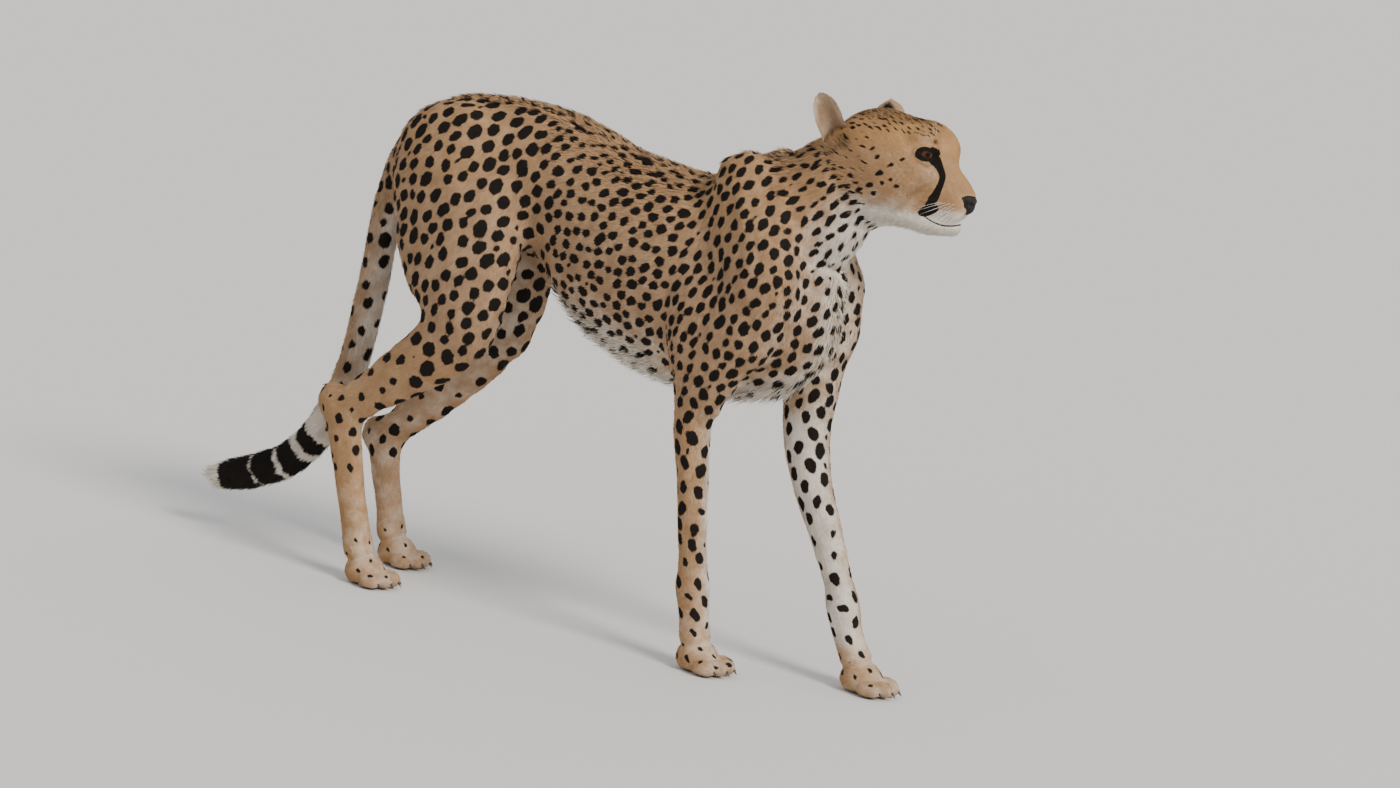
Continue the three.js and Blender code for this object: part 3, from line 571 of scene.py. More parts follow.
skin = Skin(voxel_mesh())
skin.relax(SMOOTHING)

# The zone each point belongs to.
solid_points, solid_tris, solid_owner = joined(FLESH)
solid_tree = surface_tree(solid_points, solid_tris)


def zones_of(points):
    hits = [solid_tree.find_nearest(p)[2] for p in points.tolist()]
    return solid_owner[hits]


def in_zone(owner, *kinds):
    """Which points belong to nodes of these kinds."""
    wanted = [k for k, name in enumerate(FLESH) if node_name(name) in kinds]
    return np.isin(owner, wanted)


# Limits in the head's frame, in mm: how far back and aside the head's part of the skin goes, and
# the box of the face, forward, aside and up.
HEAD_BACK = -140
HEAD_SIDE = 90
FACE = ((-34, 90), (-60, 60), (-125, 34))
SETTLED_BACK = (-150, -112)  # where the head's own forms begin to count, and count in full
SETTLED_LOW = -190
PAW_BOX = ((-75, 75), (-55, 55), (-90, 90))  # round a pad's middle
BLADE_TOP = (0.02, 0, 0.17)  # metres from the middle of a shoulder's node


def in_box(p, box):
    low, high = np.array(box, float).T
    return ((p > low) & (p < high)).all(1)


owner = zones_of(skin.points)
local = to_head(skin.points)
near_head = (local[:, 0] > HEAD_BACK) & (np.abs(local[:, 1]) < HEAD_SIDE)
near_head &= in_zone(owner, "head", "neck")
skin.halve(near_head | in_zone(owner, "forepaw", "hindpaw"))


def settle_head():
    """Moves the head and the top of the neck onto their own smooth forms."""
    local = to_head(skin.points)
    moved = onto_field(head_and_neck, local, 6, 13)
    inside = (local[:, 2] > SETTLED_LOW) & (np.abs(local[:, 1]) < HEAD_SIDE)
    share = smoothstep(*SETTLED_BACK, local[:, 0]) * inside
    skin.points = from_head(local + (moved - local) * share[:, None])


settle_head()
skin.halve(in_box(to_head(skin.points), FACE))
settle_head()


# Paws: the pads and toes.
def paw_middle(name):
    """The middle of a paw's pad on the floor, from where its claws are."""
    claws = [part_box(f"claw_{name[:4]}_{name.split('_')[1]}_{n}") for n in (1, 2, 3, 4)]
    tip = np.mean([high[0] for low, high in claws])
    side = np.mean([(low[1] + high[1]) / 2 for low, high in claws])
    return np.array((tip - CLAW_REACH * MM, side, 0))


PAWS = {name: paw_middle(name) for name in FLESH if "paw" in name}
for middle in PAWS.values():
    p = (skin.points - middle) / MM
    near = in_box(p, PAW_BOX)
    moved = onto_field(paw_field, p[near], 4, 10)
    skin.points[near] = moved * MM + middle
skin.points[:, 2] = np.maximum(skin.points[:, 2], 0)
skin.relax(4, passed=0.1)
# The tops of the shoulder blades are blunt.
blades = [node_middle(n) + BLADE_TOP for n in ("shoulder_left", "shoulder_right")]
near = np.min([np.linalg.norm(skin.points - b, axis=1) for b in blades], axis=0)
share = 1 - smoothstep(0.03, 0.09, near)
skin.points = skin.points + (skin.soften(skin.points, 40) - skin.points) * share[:, None]

# ---------------- muscles and bones
# Lines on the sides of the body, as forward and up in the whole animal's frame: the side (0 for
# both), how wide and how high the form is, in mm, and the line.
FORMS = [
    (-1, 11, 3.0, [(288, 700), (320, 640), (350, 580)]),
    (1, 11, 3.0, [(300, 700), (332, 640), (362, 580)]),
    (0, 16, -3.0, [(245, 690), (262, 630), (258, 570)]),
    (0, 13, -3.5, [(330, 690), (380, 620), (408, 565)]),
    (-1, 14, -4.0, [(205, 545), (200, 480), (222, 415)]),
    (1, 14, -4.0, [(272, 545), (272, 480), (296, 415)]),
    (-1, 13, 3.5, [(250, 520), (246, 460), (256, 410)]),
    (1, 13, 3.5, [(322, 520), (320, 460), (334, 410)]),
    (-1, 12, -2.5, [(300, 560), (288, 500), (280, 450)]),
    (-1, 16, 3.5, [(356, 560), (352, 530)]),
    (-1, 8, -2.0, [(284, 375), (288, 300), (292, 220)]),
    (1, 8, -2.0, [(372, 360), (396, 290), (428, 220)]),
    (0, 44, -6.0, [(-70, 570), (-40, 560)]),
    (0, 15, -3.5, [(-88, 610), (-84, 550), (-92, 490)]),
    (0, 16, 3.5, [(-165, 716), (-190, 706)]),
    (0, 14, -3.0, [(-262, 640), (-240, 560), (-215, 490)]),
    (0, 20, 3.0, [(-170, 640), (-150, 560), (-140, 490)]),
    (-1, 9, -3.0, [(-190, 372), (-240, 342), (-310, 290)]),
    (1, 9, -3.0, [(-240, 352), (-290, 310), (-350, 250)]),
    (-1, 9, -2.0, [(-325, 230), (-312, 180), (-300, 130)]),
    (1, 9, -2.0, [(-368, 165), (-355, 120), (-345, 90)]),
    (-1, 12, 3.0, [(-118, 425), (-112, 410)]),
] + [(0, 8, 1.3, [(x + 14, 610), (x, 540), (x - 2, 470)]) for x in range(60, 205, 27)]


def add_forms():
    """Raises the skin along each line, or lowers it, on the side that faces out."""
    normals = skin.normals()
    at = in_model(skin.points)
    move = np.zeros(skin.count)
    for side, radius, height, line in FORMS:
        flat = curve_through([(x, 0, z) for x, z in line], 6)
        d, along = distance_to_line(at * (1, 0, 1), flat)
        ends = 0.4 + 0.6 * np.sin(np.pi * np.clip(along, 0.05, 0.95))
        for way in (-1, 1) if side == 0 else (side,):
            out = smoothstep(0.1, 0.6, normals[:, 1] * way) * (at[:, 1] * way > 8)
            move += hump(d, radius) * ends * out * height
    on_body = smoothstep(-130, -170, to_head(skin.points)[:, 0])
    skin.points = skin.points + normals * (move * on_body * MM)[:, None]


add_forms()

# ---------------- the head's folds
# On both sides, given for the left: the line, how wide and high the fold is, and if it tapers.
lips = np.array(MOUTH[:-1], float)
PAIRED_FOLDS = [
    (MOUTH, 2.6, -3.0, False),
    (lips + (2, 1, 5), 5, 1.2, True),
    (lips + (1, 0, -5), 4, 1.0, True),
    ([(x, 28, z) for x, z, _ in TEAR_LINE[:7]], 4.5, -1.4, True),
    ([(-30, 36, 14), (-12, 36, 19), (6, 28, 17)], 6, 2.2, True),  # the brow
    ([(34, 20, -46), (25, 27, -60), (19, 31, -76)], 7, -1.8, True),  # behind the whisker pad
    ([(48, 14, -74), (36, 21, -76), (26, 26, -78)], 8, 2.4, True),  # the whisker pad
]
CLEFT = [(68, 0, -66), (64, 0, -74), (60, 0, -82)]
FURROW = [(-40, 0, 46), (-5, 0, 40), (20, 0, 18)]  # between the brows
for side in (-1, 1):
    for line, *fold in PAIRED_FOLDS:
        stroke(skin, mirrored(line, side), *fold)
stroke(skin, CLEFT, 1.8, -2.4)
stroke(skin, FURROW, 6, -1.0, taper=True)
for name in EAR_SHAPES:
    root, tip = ear_line(name)
    stroke(skin, [root + (4, 0, -8), root + (tip - root) * 0.1, root + (tip - root) * 0.2], 17, 3)


# ---------------- eyes
def eye_frame(side):
    """An eyeball's middle and its axes: gaze, outward and up, in the head's frame."""
    middle = to_head((eye_left if side > 0 else eye_right)[None])[0]
    gaze = unit(mirrored(GAZE, side))
    up = unit((0, 0, 1) - gaze * gaze[2])
    outward = np.cross(up, gaze) * side
    return middle, gaze, outward, up


def lid_edge(turn):
    """The lids' edge, as degrees outward and up from the gaze, for a turn around it."""
    c, s = np.cos(turn), np.sin(turn)
    across = LID_HALF_WIDTH * c
    rise = np.where(s > 0, LID_UP, LID_DOWN) * s * np.abs(s) ** 0.15
    return across, rise + LID_TILT * c


EYE_TURNS = np.arange(72) / 72 * 2 * np.pi
# The lids, from their edge outward: degrees beyond it, mm from the eyeball's middle, and how far
# they have gone over to the skin.
LID_RINGS = np.array([
    (-0.6, 15.4, 0), (0, 16.7, 0), (1.5, 17.5, 0), (4, 18.0, 0), (8, 18.2, 0.1),
    (13, 18.2, 0.35), (19, 18.2, 0.7), (26, 18.2, 1), (34, 18.2, 1),
])
LAID_OVER = 24  # degrees beyond the lids' edge up to where the lids cover the skin
LID_REACH = 24  # mm from the eyeball's middle, where the lids end at the most
LID_LEAST = 17.2  # mm from the eyeball's middle to the lids, beyond their inner edge
LID_TUCK = 0.16  # mm for each degree that the lids go on under the skin
LID_CLEAR = 1.3  # mm from the lids down to the skin under them
EYEBALL = 15.8  # its radius, in mm, and how far the cornea stands out
CORNEA = 0.96
SOCKET = 17.8  # mm from the eyeball's middle to the skin around the lids, at the least
INSIDE_EYE = 12.5  # mm from the eyeball's middle to the skin behind the opening


def beyond_lids(points, side):
    """Degrees outside the lids' edge, below 0 in the opening, and mm from the eyeball's middle."""
    middle, gaze, outward, up = eye_frame(side)
    r = points - middle
    size = np.maximum(np.linalg.norm(r, axis=1), 1e-9)
    across = np.degrees(np.arctan2(r @ outward, r @ gaze))
    rise = np.degrees(np.arcsin(np.clip(r @ up / size, -1, 1)))
    edge_across, edge_rise = lid_edge(EYE_TURNS)
    around = np.arctan2(edge_rise, edge_across)
    reach = np.hypot(edge_across, edge_rise)
    edge = np.interp(np.arctan2(rise, across), around, reach, period=2 * np.pi)
    return np.hypot(across, rise) - edge, size


def lid_radius(beyond, skin_radius):
    low = np.interp(beyond, LID_RINGS[:, 0], LID_RINGS[:, 1])
    share = np.interp(beyond, LID_RINGS[:, 0], LID_RINGS[:, 2])
    return np.maximum(low + (skin_radius - low) * share, np.minimum(low, LID_LEAST))


def lid_mesh(side, tree):
    """Both lids of one eye: rings from inside their edge, over the margin and under the skin."""
    middle, gaze, outward, up = eye_frame(side)
    edge_across, edge_rise = lid_edge(EYE_TURNS)
    reach = np.hypot(edge_across, edge_rise)
    rings = []
    for beyond, _, _ in LID_RINGS:
        across = np.radians(edge_across * (1 + beyond / reach))
        rise = np.radians(edge_rise * (1 + beyond / reach))
        flat = np.cos(rise)
        way = np.outer(flat * np.cos(across), gaze) + np.outer(flat * np.sin(across), outward)
        way += np.outer(np.sin(rise), up)
        for w in way:
            hit = tree.ray_cast(Vector(from_head(middle)), Vector(w @ HEAD_AXES))
            skin_radius = min(hit[3] / MM, LID_REACH)
            radius = lid_radius(beyond, skin_radius) - max(0, beyond - LAID_OVER) * LID_TUCK
            rings.append(middle + w * radius)
    count = len(EYE_TURNS)
    quads = ring_quads(len(LID_RINGS), count)[:, [0, 3, 2, 1]]
    beyond = np.repeat(LID_RINGS[:, 0], count)
    return from_head(rings), split(quads if side > 0 else quads[:, ::-1]), beyond


for side in (-1, 1):
    local = to_head(skin.points)
    beyond, size = beyond_lids(local, side)
    middle = eye_frame(side)[0]
    facing = ((local - middle)[:, 1] * side > 0) & (size < 30)
    raised = smoothstep(68, 30, beyond) * np.maximum(SOCKET - size, 0) * facing
    skin.points = from_head(local + unit(local - middle) * raised[:, None])
uncut = surface_tree(skin.points, skin.tris)
lid_meshes = {side: lid_mesh(side, uncut) for side in (-1, 1)}
for side in (-1, 1):
    local = to_head(skin.points)
    beyond, size = beyond_lids(local, side)
    middle = eye_frame(side)[0]
    below = lid_radius(beyond, np.minimum(size, LID_REACH)) - LID_CLEAR
    gone = np.where(beyond < 9, INSIDE_EYE, below)
    under_lids = (beyond < LAID_OVER) & ((local - middle)[:, 1] * side > -12)
    share = np.where(under_lids, np.minimum(gone / size, 1), 1)
    share = share + (1 - share) * smoothstep(LID_REACH - 1, LID_REACH + 4, size)
    skin.points = from_head(middle + (local - middle) * share[:, None])
skin.store()


def ball(rows, columns, ahead, right, up):
    """Ways out from a middle, in rings round the way ahead, and the faces between them."""
    tilt = (np.arange(rows + 1) / rows * np.pi)[:, None, None]
    turn = (np.arange(columns) / columns * 2 * np.pi)[None, :, None]
    ways = ahead * np.cos(tilt) + np.sin(tilt) * (right * np.cos(turn) + up * np.sin(turn))
    return ways.reshape(-1, 3), ring_quads(rows + 1, columns)


def eyeball(side):
    """An eyeball with a slightly raised cornea, whose points hold their angle from the gaze."""
    middle, *axes = eye_frame(side)
    rows, columns = 40, 64
    ways, quads = ball(rows, columns, *axes)
    angle = np.repeat(np.arange(rows + 1) / rows * np.pi, columns)
    radius = EYEBALL + CORNEA * np.cos(np.minimum(angle * 1.9, np.pi / 2))
    points = from_head(middle + ways * radius[:, None])
    mesh = new_mesh("eyeball", points, quads if side > 0 else quads[:, ::-1])
    set_smooth(mesh)
    add_attribute(mesh, "look", np.degrees(angle))
    return mesh


# ---------------- coat depth and lie
WAYS = {"down": (0, 0, -1.0), "back": (-1.0, 0, -0.2)}
EAR_RING = 26  # mm round an ear's foot in which the coat is longer and stands up


def axes_of(points, step=1):
    """The middle of a form, and its axes, the long one first."""
    middle = points.mean(0)
    return middle, np.linalg.svd((points - middle)[::step], full_matrices=False)[2]


def lie_of(name):
    """Which way a node's coat lies, where down and back mean along its long axis."""
    lie = COAT[node_name(name)][5]
    if lie is None:
        return np.zeros(3)
    if lie in WAYS:
        axis = axes_of(SHAPES[name][0])[1][0]
        return axis * np.sign(axis @ WAYS[lie])
    return unit(np.array(lie, float))


def off_nose_way(local):
    """Which way the face's coat lies: away from the nose."""
    return unit(local - NOSE_MIDDLE) @ HEAD_AXES


def along_skin(v, normals):
    return unit(v - normals * (v * normals).sum(1)[:, None])


owner = zones_of(skin.points)
COLUMNS = np.array([COAT[node_name(n)][:5] for n in FLESH])
coat = skin.soften(COLUMNS[owner], 24)
lie = np.array([lie_of(n) for n in FLESH])[owner]
local = to_head(skin.points)
on_head = in_zone(owner, "head")
lie[on_head] = off_nose_way(local)[on_head]
for name in EAR_SHAPES:
    root, tip = ear_line(name)
    near = disc(np.linalg.norm(local - (root + EAR_FOOT), axis=1), EAR_RING) * on_head
    lie = lie + np.outer(near * 1.5, unit(tip - root) @ HEAD_AXES)
normals = skin.normals()
lie = along_skin(lie, normals)
for _ in range(40):
    lie = along_skin(lie + (skin.mean(lie) - lie) * 0.6, normals)

inset = skin.soften(coat[:, 0], 10) * MM
skin.points = skin.points - normals * inset[:, None]
skin.points[:, 2] = np.maximum(skin.points[:, 2], 0)
normals = skin.normals()


# ---------------- ears
def ear_mesh(name, rows=26, columns=28):
    """A cupped leaf with a front and a back face, closed along its rim and its root."""
    root, tip = ear_line(name)
    _, _, faces, width = EAR_SHAPES[name]
    height = np.linalg.norm(tip - root)
    up = (tip - root) / height
    out = unit(faces - up * (faces @ up))
    across = np.cross(up, out)
    t = np.sin(np.arange(rows + 1) / rows * np.pi / 2)[:, None]
    s = (np.arange(columns + 1) / columns * 2 - 1)[None, :]
    top = np.maximum(0, t - 0.5) / 0.5
    half = width / 2 * np.sqrt(np.maximum(0.03, 1 - top**2.4))
    bend = EAR_CUP * (s * s - 1) * (1 - 0.55 * t)
    sheets = []
    for back in (0, 1):
        wall = back * EAR_WALL * (1 - 0.35 * t) * np.sqrt(np.maximum(0.06, 1 - s**4))
        level = (t * (1 + EAR_ROOT) - EAR_ROOT) * height + 0 * s
        tucked = EAR_TUCK * (1 - np.minimum(1, t / 0.5)) ** 2 + 0 * s
        p = root + level[..., None] * up + (s * half)[..., None] * across
        sheets.append(p + (bend - wall - tucked)[..., None] * out)
    points = np.concatenate([p.reshape(-1, 3) for p in sheets])
    grid = np.arange(len(points)).reshape(2, rows + 1, columns + 1)
    quads = []

    def patch(a, turned):
        q = np.stack((a[:-1, :-1], a[1:, :-1], a[1:, 1:], a[:-1, 1:]), -1).reshape(-1, 4)
        quads.append(q[:, ::-1] if turned else q)

    patch(grid[0], True)
    patch(grid[1], False)
    patch(grid[:, :, 0], False)
    patch(grid[:, :, -1], True)
    patch(grid[:, 0], True)
    patch(grid[:, -1], False)
    back = np.repeat((0.0, 1.0), (rows + 1) * (columns + 1))
    t, s = (np.tile(np.broadcast_to(v, grid[0].shape).ravel(), 2) for v in (t, s))
    return from_head(points), split(np.concatenate(quads)), back, t, s, unit(up @ HEAD_AXES)


# ---------------- the whole dressed surface
KIND_SKIN, KIND_LID, KIND_EAR = 0, 1, 2
# The coat of the lids and of the ears, as in the table of the nodes.
LID_COAT = (1, 3.4, 0.8, 0.1, 1.3)
EAR_COAT = (1, 4.2, 0.85, 0.14, 1.75)
surface = {}


def add_surface(points, **values):
    """Adds a mesh to the dressed surface. A single value stands for all of its points."""
    base = sum(len(p) for p in surface.get("points", ()))
    surface.setdefault("points", []).append(points)
    surface.setdefault("tris", []).append(values.pop("tris") + base)
    for key, value in values.items():
        value = np.asarray(value)
        if value.ndim == 0 or len(value) != len(points):
            value = np.broadcast_to(value, (len(points), *value.shape))
        surface.setdefault(key, []).append(value)


def add_head_part(points, tris, normals, lie, coat, kind, rim, back=0.0):
    """Adds the lids or an ear. A lid's rim is how bare it is, an ear's is its pale edge."""
    looks = {"coat": coat, "owner": FLESH.index("head"), "kind": kind, "rim": rim, "back": back}
    add_surface(points, tris=tris, normals=normals, lie=along_skin(lie, normals), **looks)


looks = {"coat": coat, "owner": owner, "kind": KIND_SKIN, "rim": 0.0, "back": 0.0}
add_surface(skin.points, tris=skin.tris, normals=normals, lie=lie, **looks)
for side, (points, tris, beyond) in lid_meshes.items():
    eye = eye_left if side > 0 else eye_right
    lid_normals = normals_of(points, tris)
    lid_normals *= np.sign(((points - eye) * lid_normals).sum(1).mean())
    lid_bare = 1 - smoothstep(1.5, 5, beyond)
    flow = off_nose_way(to_head(points))
    add_head_part(points, tris, lid_normals, flow, LID_COAT, KIND_LID, lid_bare)
for name in EARS:
    points, tris, back, t, s, up = ear_mesh(name)
    front_rim = np.maximum(smoothstep(0.55, 0.9, np.abs(s)), smoothstep(0.75, 0.97, t))
    front_rim = front_rim * smoothstep(0.2, 0.6, t)
    back_rim = smoothstep(0.52, 0.98, np.hypot(s * 0.95, np.maximum(t - 0.2, 0) * 1.05))
    rim = np.where(back > 0.5, back_rim, front_rim)
    add_head_part(points, tris, normals_of(points, tris), up, EAR_COAT, KIND_EAR, rim, back)
surface = {key: np.concatenate(value) for key, value in surface.items()}

# ---------------- markings, with painted shade in and under the ears and painted sunlight on the brow
points, normals, owner = surface["points"], surface["normals"], surface["owner"]
kind = surface["kind"]
local = to_head(points)
hx, hy, hz = local.T
side_of = np.sign(points[:, 1])
on_head = in_zone(owner, "head")
on_trunk = in_zone(owner, "chest", "loin", "hindquarters")
on_neck = in_zone(owner, "neck")
on_legs = in_zone(owner, "forearm", "shank", "hindfoot", "forepaw", "hindpaw")
on_upper = in_zone(owner, "shoulder", "thigh")
on_tail = in_zone(owner, "tail_root", "tail_middle", "tail_end", "tail_tip")
on_paw = in_zone(owner, "forepaw", "hindpaw")


def bump_at(at, radius):
    """1 at a point of the head, on both sides, falling to 0 about twice the radius away."""
    return hump(np.linalg.norm(np.stack((hx, np.abs(hy), hz), 1) - at, axis=1), radius)


# How high each point of the trunk is, from 0 at the belly to 1 at the back, read at stations.
STEP = 0.03
NO_TRUNK = (0.5, 0.7)  # metres, the belly and the back where there is no trunk
stations = np.arange(-0.40, 0.46, STEP)
trunk_points = points[on_trunk | on_upper]
around = [trunk_points[np.abs(trunk_points[:, 0] - x) < STEP, 2] for x in stations]
belly, crest = zip(*((z.min(), z.max()) if len(z) else NO_TRUNK for z in around))
low = np.interp(points[:, 0], stations, belly)
high = np.interp(points[:, 0], stations, crest)
height = (points[:, 2] - low) / (high - low)

nx, ny, nz = normals.T
inward = -ny * side_of
front = nx * 0.75 - nz * 0.65
low_leg = smoothstep(0.2, 0.03, points[:, 2])
fore_inner = smoothstep(-0.15, 0.6, inward + 0.35 * nx) * smoothstep(0.035, 0.09, points[:, 2])
belly_pale = smoothstep(-0.1, -0.85, nz) * smoothstep(0.5, 0.1, height) * on_trunk
breast_pale = np.maximum(belly_pale, 0.65 * smoothstep(0.4, 0.95, nx))
pale = belly_pale
for kinds, value in (
    (["chest"], breast_pale),
    (["neck"], 0.9 * smoothstep(0.0, 0.95, front)),
    (["shoulder"], 0.45 * smoothstep(0.4, 1.0, nx + 0.4 * inward)),
    (["thigh"], 0.4 * smoothstep(0.0, 0.7, inward)),
    (["forearm", "forepaw"], 0.95 * fore_inner),
    (["shank", "hindfoot"], 0.35 * smoothstep(0.0, 0.7, inward)),
):
    pale = np.where(in_zone(owner, *kinds), value, pale)
pale = np.where(on_legs, np.maximum(pale, 0.25 * low_leg + 0.2 * low_leg * nx), pale)
tail_line = curve_through(TAIL, 1)
tail_steps = np.append(0, np.cumsum(np.linalg.norm(np.diff(tail_line, axis=0), axis=1)))


def tail_way_of(p):
    """How far each point is along the tail from its tip, in mm."""
    _, share = distance_to_line(in_model(p), tail_line)
    return np.interp(share * (len(tail_line) - 1), np.arange(len(tail_line)), tail_steps)


tail_way = tail_way_of(points)
tail_pale = np.maximum(0.7 * smoothstep(-0.1, 0.7, nx), 0.9 * smoothstep(340, 220, tail_way))
pale = np.where(on_tail, tail_pale, pale)
face_pale = np.maximum.reduce([
    smoothstep(-74, -92, hz + 0.1 * hx),  # chin and throat
    0.36 * smoothstep(-35, -85, hz) * smoothstep(20, -20, hx),  # cheeks
    0.3 * bump_at((2, 34, -22), 15),  # under the eye
    0.15 * bump_at((0, 31, 18), 11),  # over the eye
    0.8 * smoothstep(-66, -78, hz) * smoothstep(10, 26, hx),  # upper lip
])
pale = np.where(on_head, face_pale, pale)
# Painted sunlight: the brow and the bridge of the nose are warmer where they face up.
brow_painted_sun = 0.6 * smoothstep(0.2, 0.8, nz) * (hx > 0)
warm = np.where(on_head, 0.5 + smoothstep(-20, 45, hz) + brow_painted_sun, 0)
warm = np.where(on_trunk | on_upper | on_neck, 0.45 * smoothstep(0.45, 0.95, height), warm)
warm = np.where(on_legs, 0.45 + 0.4 * low_leg, warm)
warm = np.clip(warm, 0, 1)


def soft_values(values, steps):
    """Evens values out over the body, and leaves the lids and ears as they are."""
    out = values.copy()
    out[: skin.count] = skin.soften(values[: skin.count], steps)
    return out


pale = np.where(on_head, soft_values(pale, 24), soft_values(pale, 70))
warm = soft_values(warm, 40)


def wobble(p, waves, reach):
    """A smooth, irregular shift of points, to roughen the edges of markings."""
    x, y, z = (p * waves).T
    shift = (
        np.sin(y * 1.3 + 1.7 * np.sin(z * 0.9)),
        np.sin(z * 1.1 + 1.9 * np.sin(x * 1.2)),
        np.sin(x * 1.2 + 1.5 * np.sin(y * 0.8)),
    )
    return p + np.stack(shift, 1) * reach


FAR = 90  # mm or degrees, beyond the reach of any marking
CLEAR = 9  # mm from a spot's edge beyond which its distance doesn't count
# The leather of the nose: how far back and out it goes, its top and its bottom, in mm.
NOSE_BACK = 44
NOSE_HALF = 17
NOSE_TOP = -50.5
NOSE_BOTTOM = -75
flat_tear = curve_through([(x, 0, z, w) for x, z, w in TEAR_LINE], 4)
mouth_line = curve_through(MOUTH, 4)


def from_mouth(q):
    """How far points of the muzzle are above or below the line of the mouth, in mm."""
    level = np.interp(q[:, 0], mouth_line[:, 0], mouth_line[:, 2])
    return np.where(q[:, 0] > MOUTH[0][0], np.abs(q[:, 2] - level), FAR)


def nose_edge(q):
    """How far points of the head are outside the nose's bare leather, in mm, roughly."""
    x, y, z = q.T
    y = np.abs(y)
    low_edge = np.maximum(-61 - 1.1 * (x - 43), NOSE_BOTTOM + 0.8 * np.maximum(y - 4, 0))
    corner = (y * 0.62 + (z - NOSE_TOP) * 0.9) - 8.4
    wing = np.maximum.reduce((NOSE_BACK - x, z - NOSE_TOP, low_edge - z, y - NOSE_HALF, corner))
    leather = nose_field(q)
    return np.minimum(leather - 0.5, np.maximum(wing, leather - 7))


def oval(across, up, half_across, half_up):
    """1 on the edge of an oval, less inside it."""
    return np.sqrt((across / half_across) ** 2 + (up / half_up) ** 2)


def head_black(q):
    """How black the head's markings are, with the painted shade under the ears, for points in its frame.
    """
    x, y, z = q.T
    y = np.abs(y)
    beside = smoothstep(10, 14, y)
    d, along = distance_to_line(np.stack((x, 0 * x, z), 1), flat_tear[:, :3])
    half = np.interp(along, np.linspace(0, 1, len(flat_tear)), flat_tear[:, 3])
    eye = np.minimum(oval(x - 0.5, z - 0.4, 14, 9.8), oval(x - 8, z - 2, 9, 8.5))
    # The black corner of the mouth is an oval that is turned by about 27 degrees.
    u, v = (x - 10) * 0.89 + (z + 76) * 0.455, (z + 76) * 0.89 - (x - 10) * 0.455
    groove = smoothstep(2.4, 1.2, y) * smoothstep(-70, -73, z) * (z > -87) * (x > 48)
    smear = np.exp(-(((x - 10) / 5) ** 2) - ((z - 19) / 5.5) ** 2) * beside
    crown = smoothstep(27, 42, z) * smoothstep(8, -8, x) * smoothstep(-135, -120, x)
    marks_and_painted_light = [
        smoothstep(1.2, -1.2, d - half) * beside,  # the tear line
        smoothstep(1.1, 0.93, eye) * beside,  # the rims of the eye
        smoothstep(1.12, 0.88, oval(u, v, 15, 7.2)) * smoothstep(12, 18, y),
        0.8 * smoothstep(1.9, 0.7, from_mouth(q)),
        0.85 * groove,  # from the nose down to the mouth
        0.66 * smear,  # over the eye
        smoothstep(1.2, -0.4, nose_edge(q)),
        0.46 * crown,
    ]
    # A black tuft before each ear, and below it dark hairs with painted shade under the ear.
    for name in EAR_SHAPES:
        root, _ = ear_line(name)
        for ahead, up, radius, share in EAR_MARKS_AND_SHADE:
            away = (q - root - (ahead, 0, up)) * (1, 0.5, 1)
            marks_and_painted_light.append(share * disc(np.linalg.norm(away, axis=1), radius))
    return np.maximum.reduce(marks_and_painted_light) * (x > -150)


dark = np.where(on_head, head_black(local), 0)
lip = from_mouth(local)
off_nose = nose_edge(local)
from_lids = np.minimum(*(beyond_lids(local, k)[0] + FAR * (hy * k < 0) for k in (-1, 1)))
ear = kind == KIND_EAR
black_back = surface["back"] * (1 - surface["rim"])
in_cup = (1 - surface["back"]) * (1 - surface["rim"])
# Inside the ear's cup the coat is darkened part way to black: painted shade in its hollow. The ear's
# back is black.
dark = np.where(ear, 0.95 * black_back + 0.43 * in_cup, dark)
pale = np.where(ear, 0.2 + 0.2 * surface["rim"] * (1 - surface["back"]), pale)
warm = np.where(ear, 0.45 * (1 - in_cup), warm)
sole = smoothstep(0.006, 0.002, points[:, 2]) * on_paw
on_mouth = np.maximum(smoothstep(1.1, 0.3, lip), 0.9 * smoothstep(0.8, -0.2, off_nose))
on_lid = np.where(kind == KIND_LID, surface["rim"], 0)
leather = np.maximum.reduce((on_lid, sole, on_mouth * on_head))


def ring_depth(p, ringed):
    """How deep each point is inside a ring of the tail, in mm, below 0 outside."""
    depth = np.full(len(p), -FAR * 1.0)
    way = tail_way_of(wobble(p[ringed], 260, 2.2 * MM))
    for a, b in TAIL_RINGS:
        depth[ringed] = np.maximum(depth[ringed], np.minimum(way - a, b - way))
    return depth


def evened(chosen, free, spacing):
    """Moves each spot most of the way to the middle of the skin that it's the nearest to."""
    skin_points = points[free]
    body_tree = point_tree(skin_points)
    weight = spacing[free] ** -4.0
    for _ in range(3):
        at = points[chosen]
        spots = point_tree(at)
        nearest = np.array([spots.find(p)[1] for p in skin_points.tolist()])
        total = np.maximum(np.bincount(nearest, weight, len(at)), 1e-12)
        middle = summed(nearest, skin_points * weight[:, None], len(at)) / total[:, None]
        goal = at + (middle - at) * 0.8
        chosen = free[[body_tree.find(p)[1] for p in goal.tolist()]].tolist()
    return chosen


SPOT_GAP = 3.2  # mm between the edges of spots
TIP_CLEAR = 250  # mm from the tail's tip within which there are rings and no spots
CELL = 0.04  # metres, larger than any space between spots


class Room:
    """Points that are kept apart."""

    def __init__(self):
        self.cells = {}

    def take(self, p, reach=0):
        """Takes a point, if none that was taken before it is within reach."""
        cell = tuple((p // CELL).astype(int))
        beside = itertools.product(*((c - 1, c, c + 1) for c in cell))
        near = (q for other in beside for q in self.cells.get(other, ()))
        if any(math.dist(p, q) < reach for q in near):
            return False
        self.cells.setdefault(cell, []).append(p.tolist())
        return True


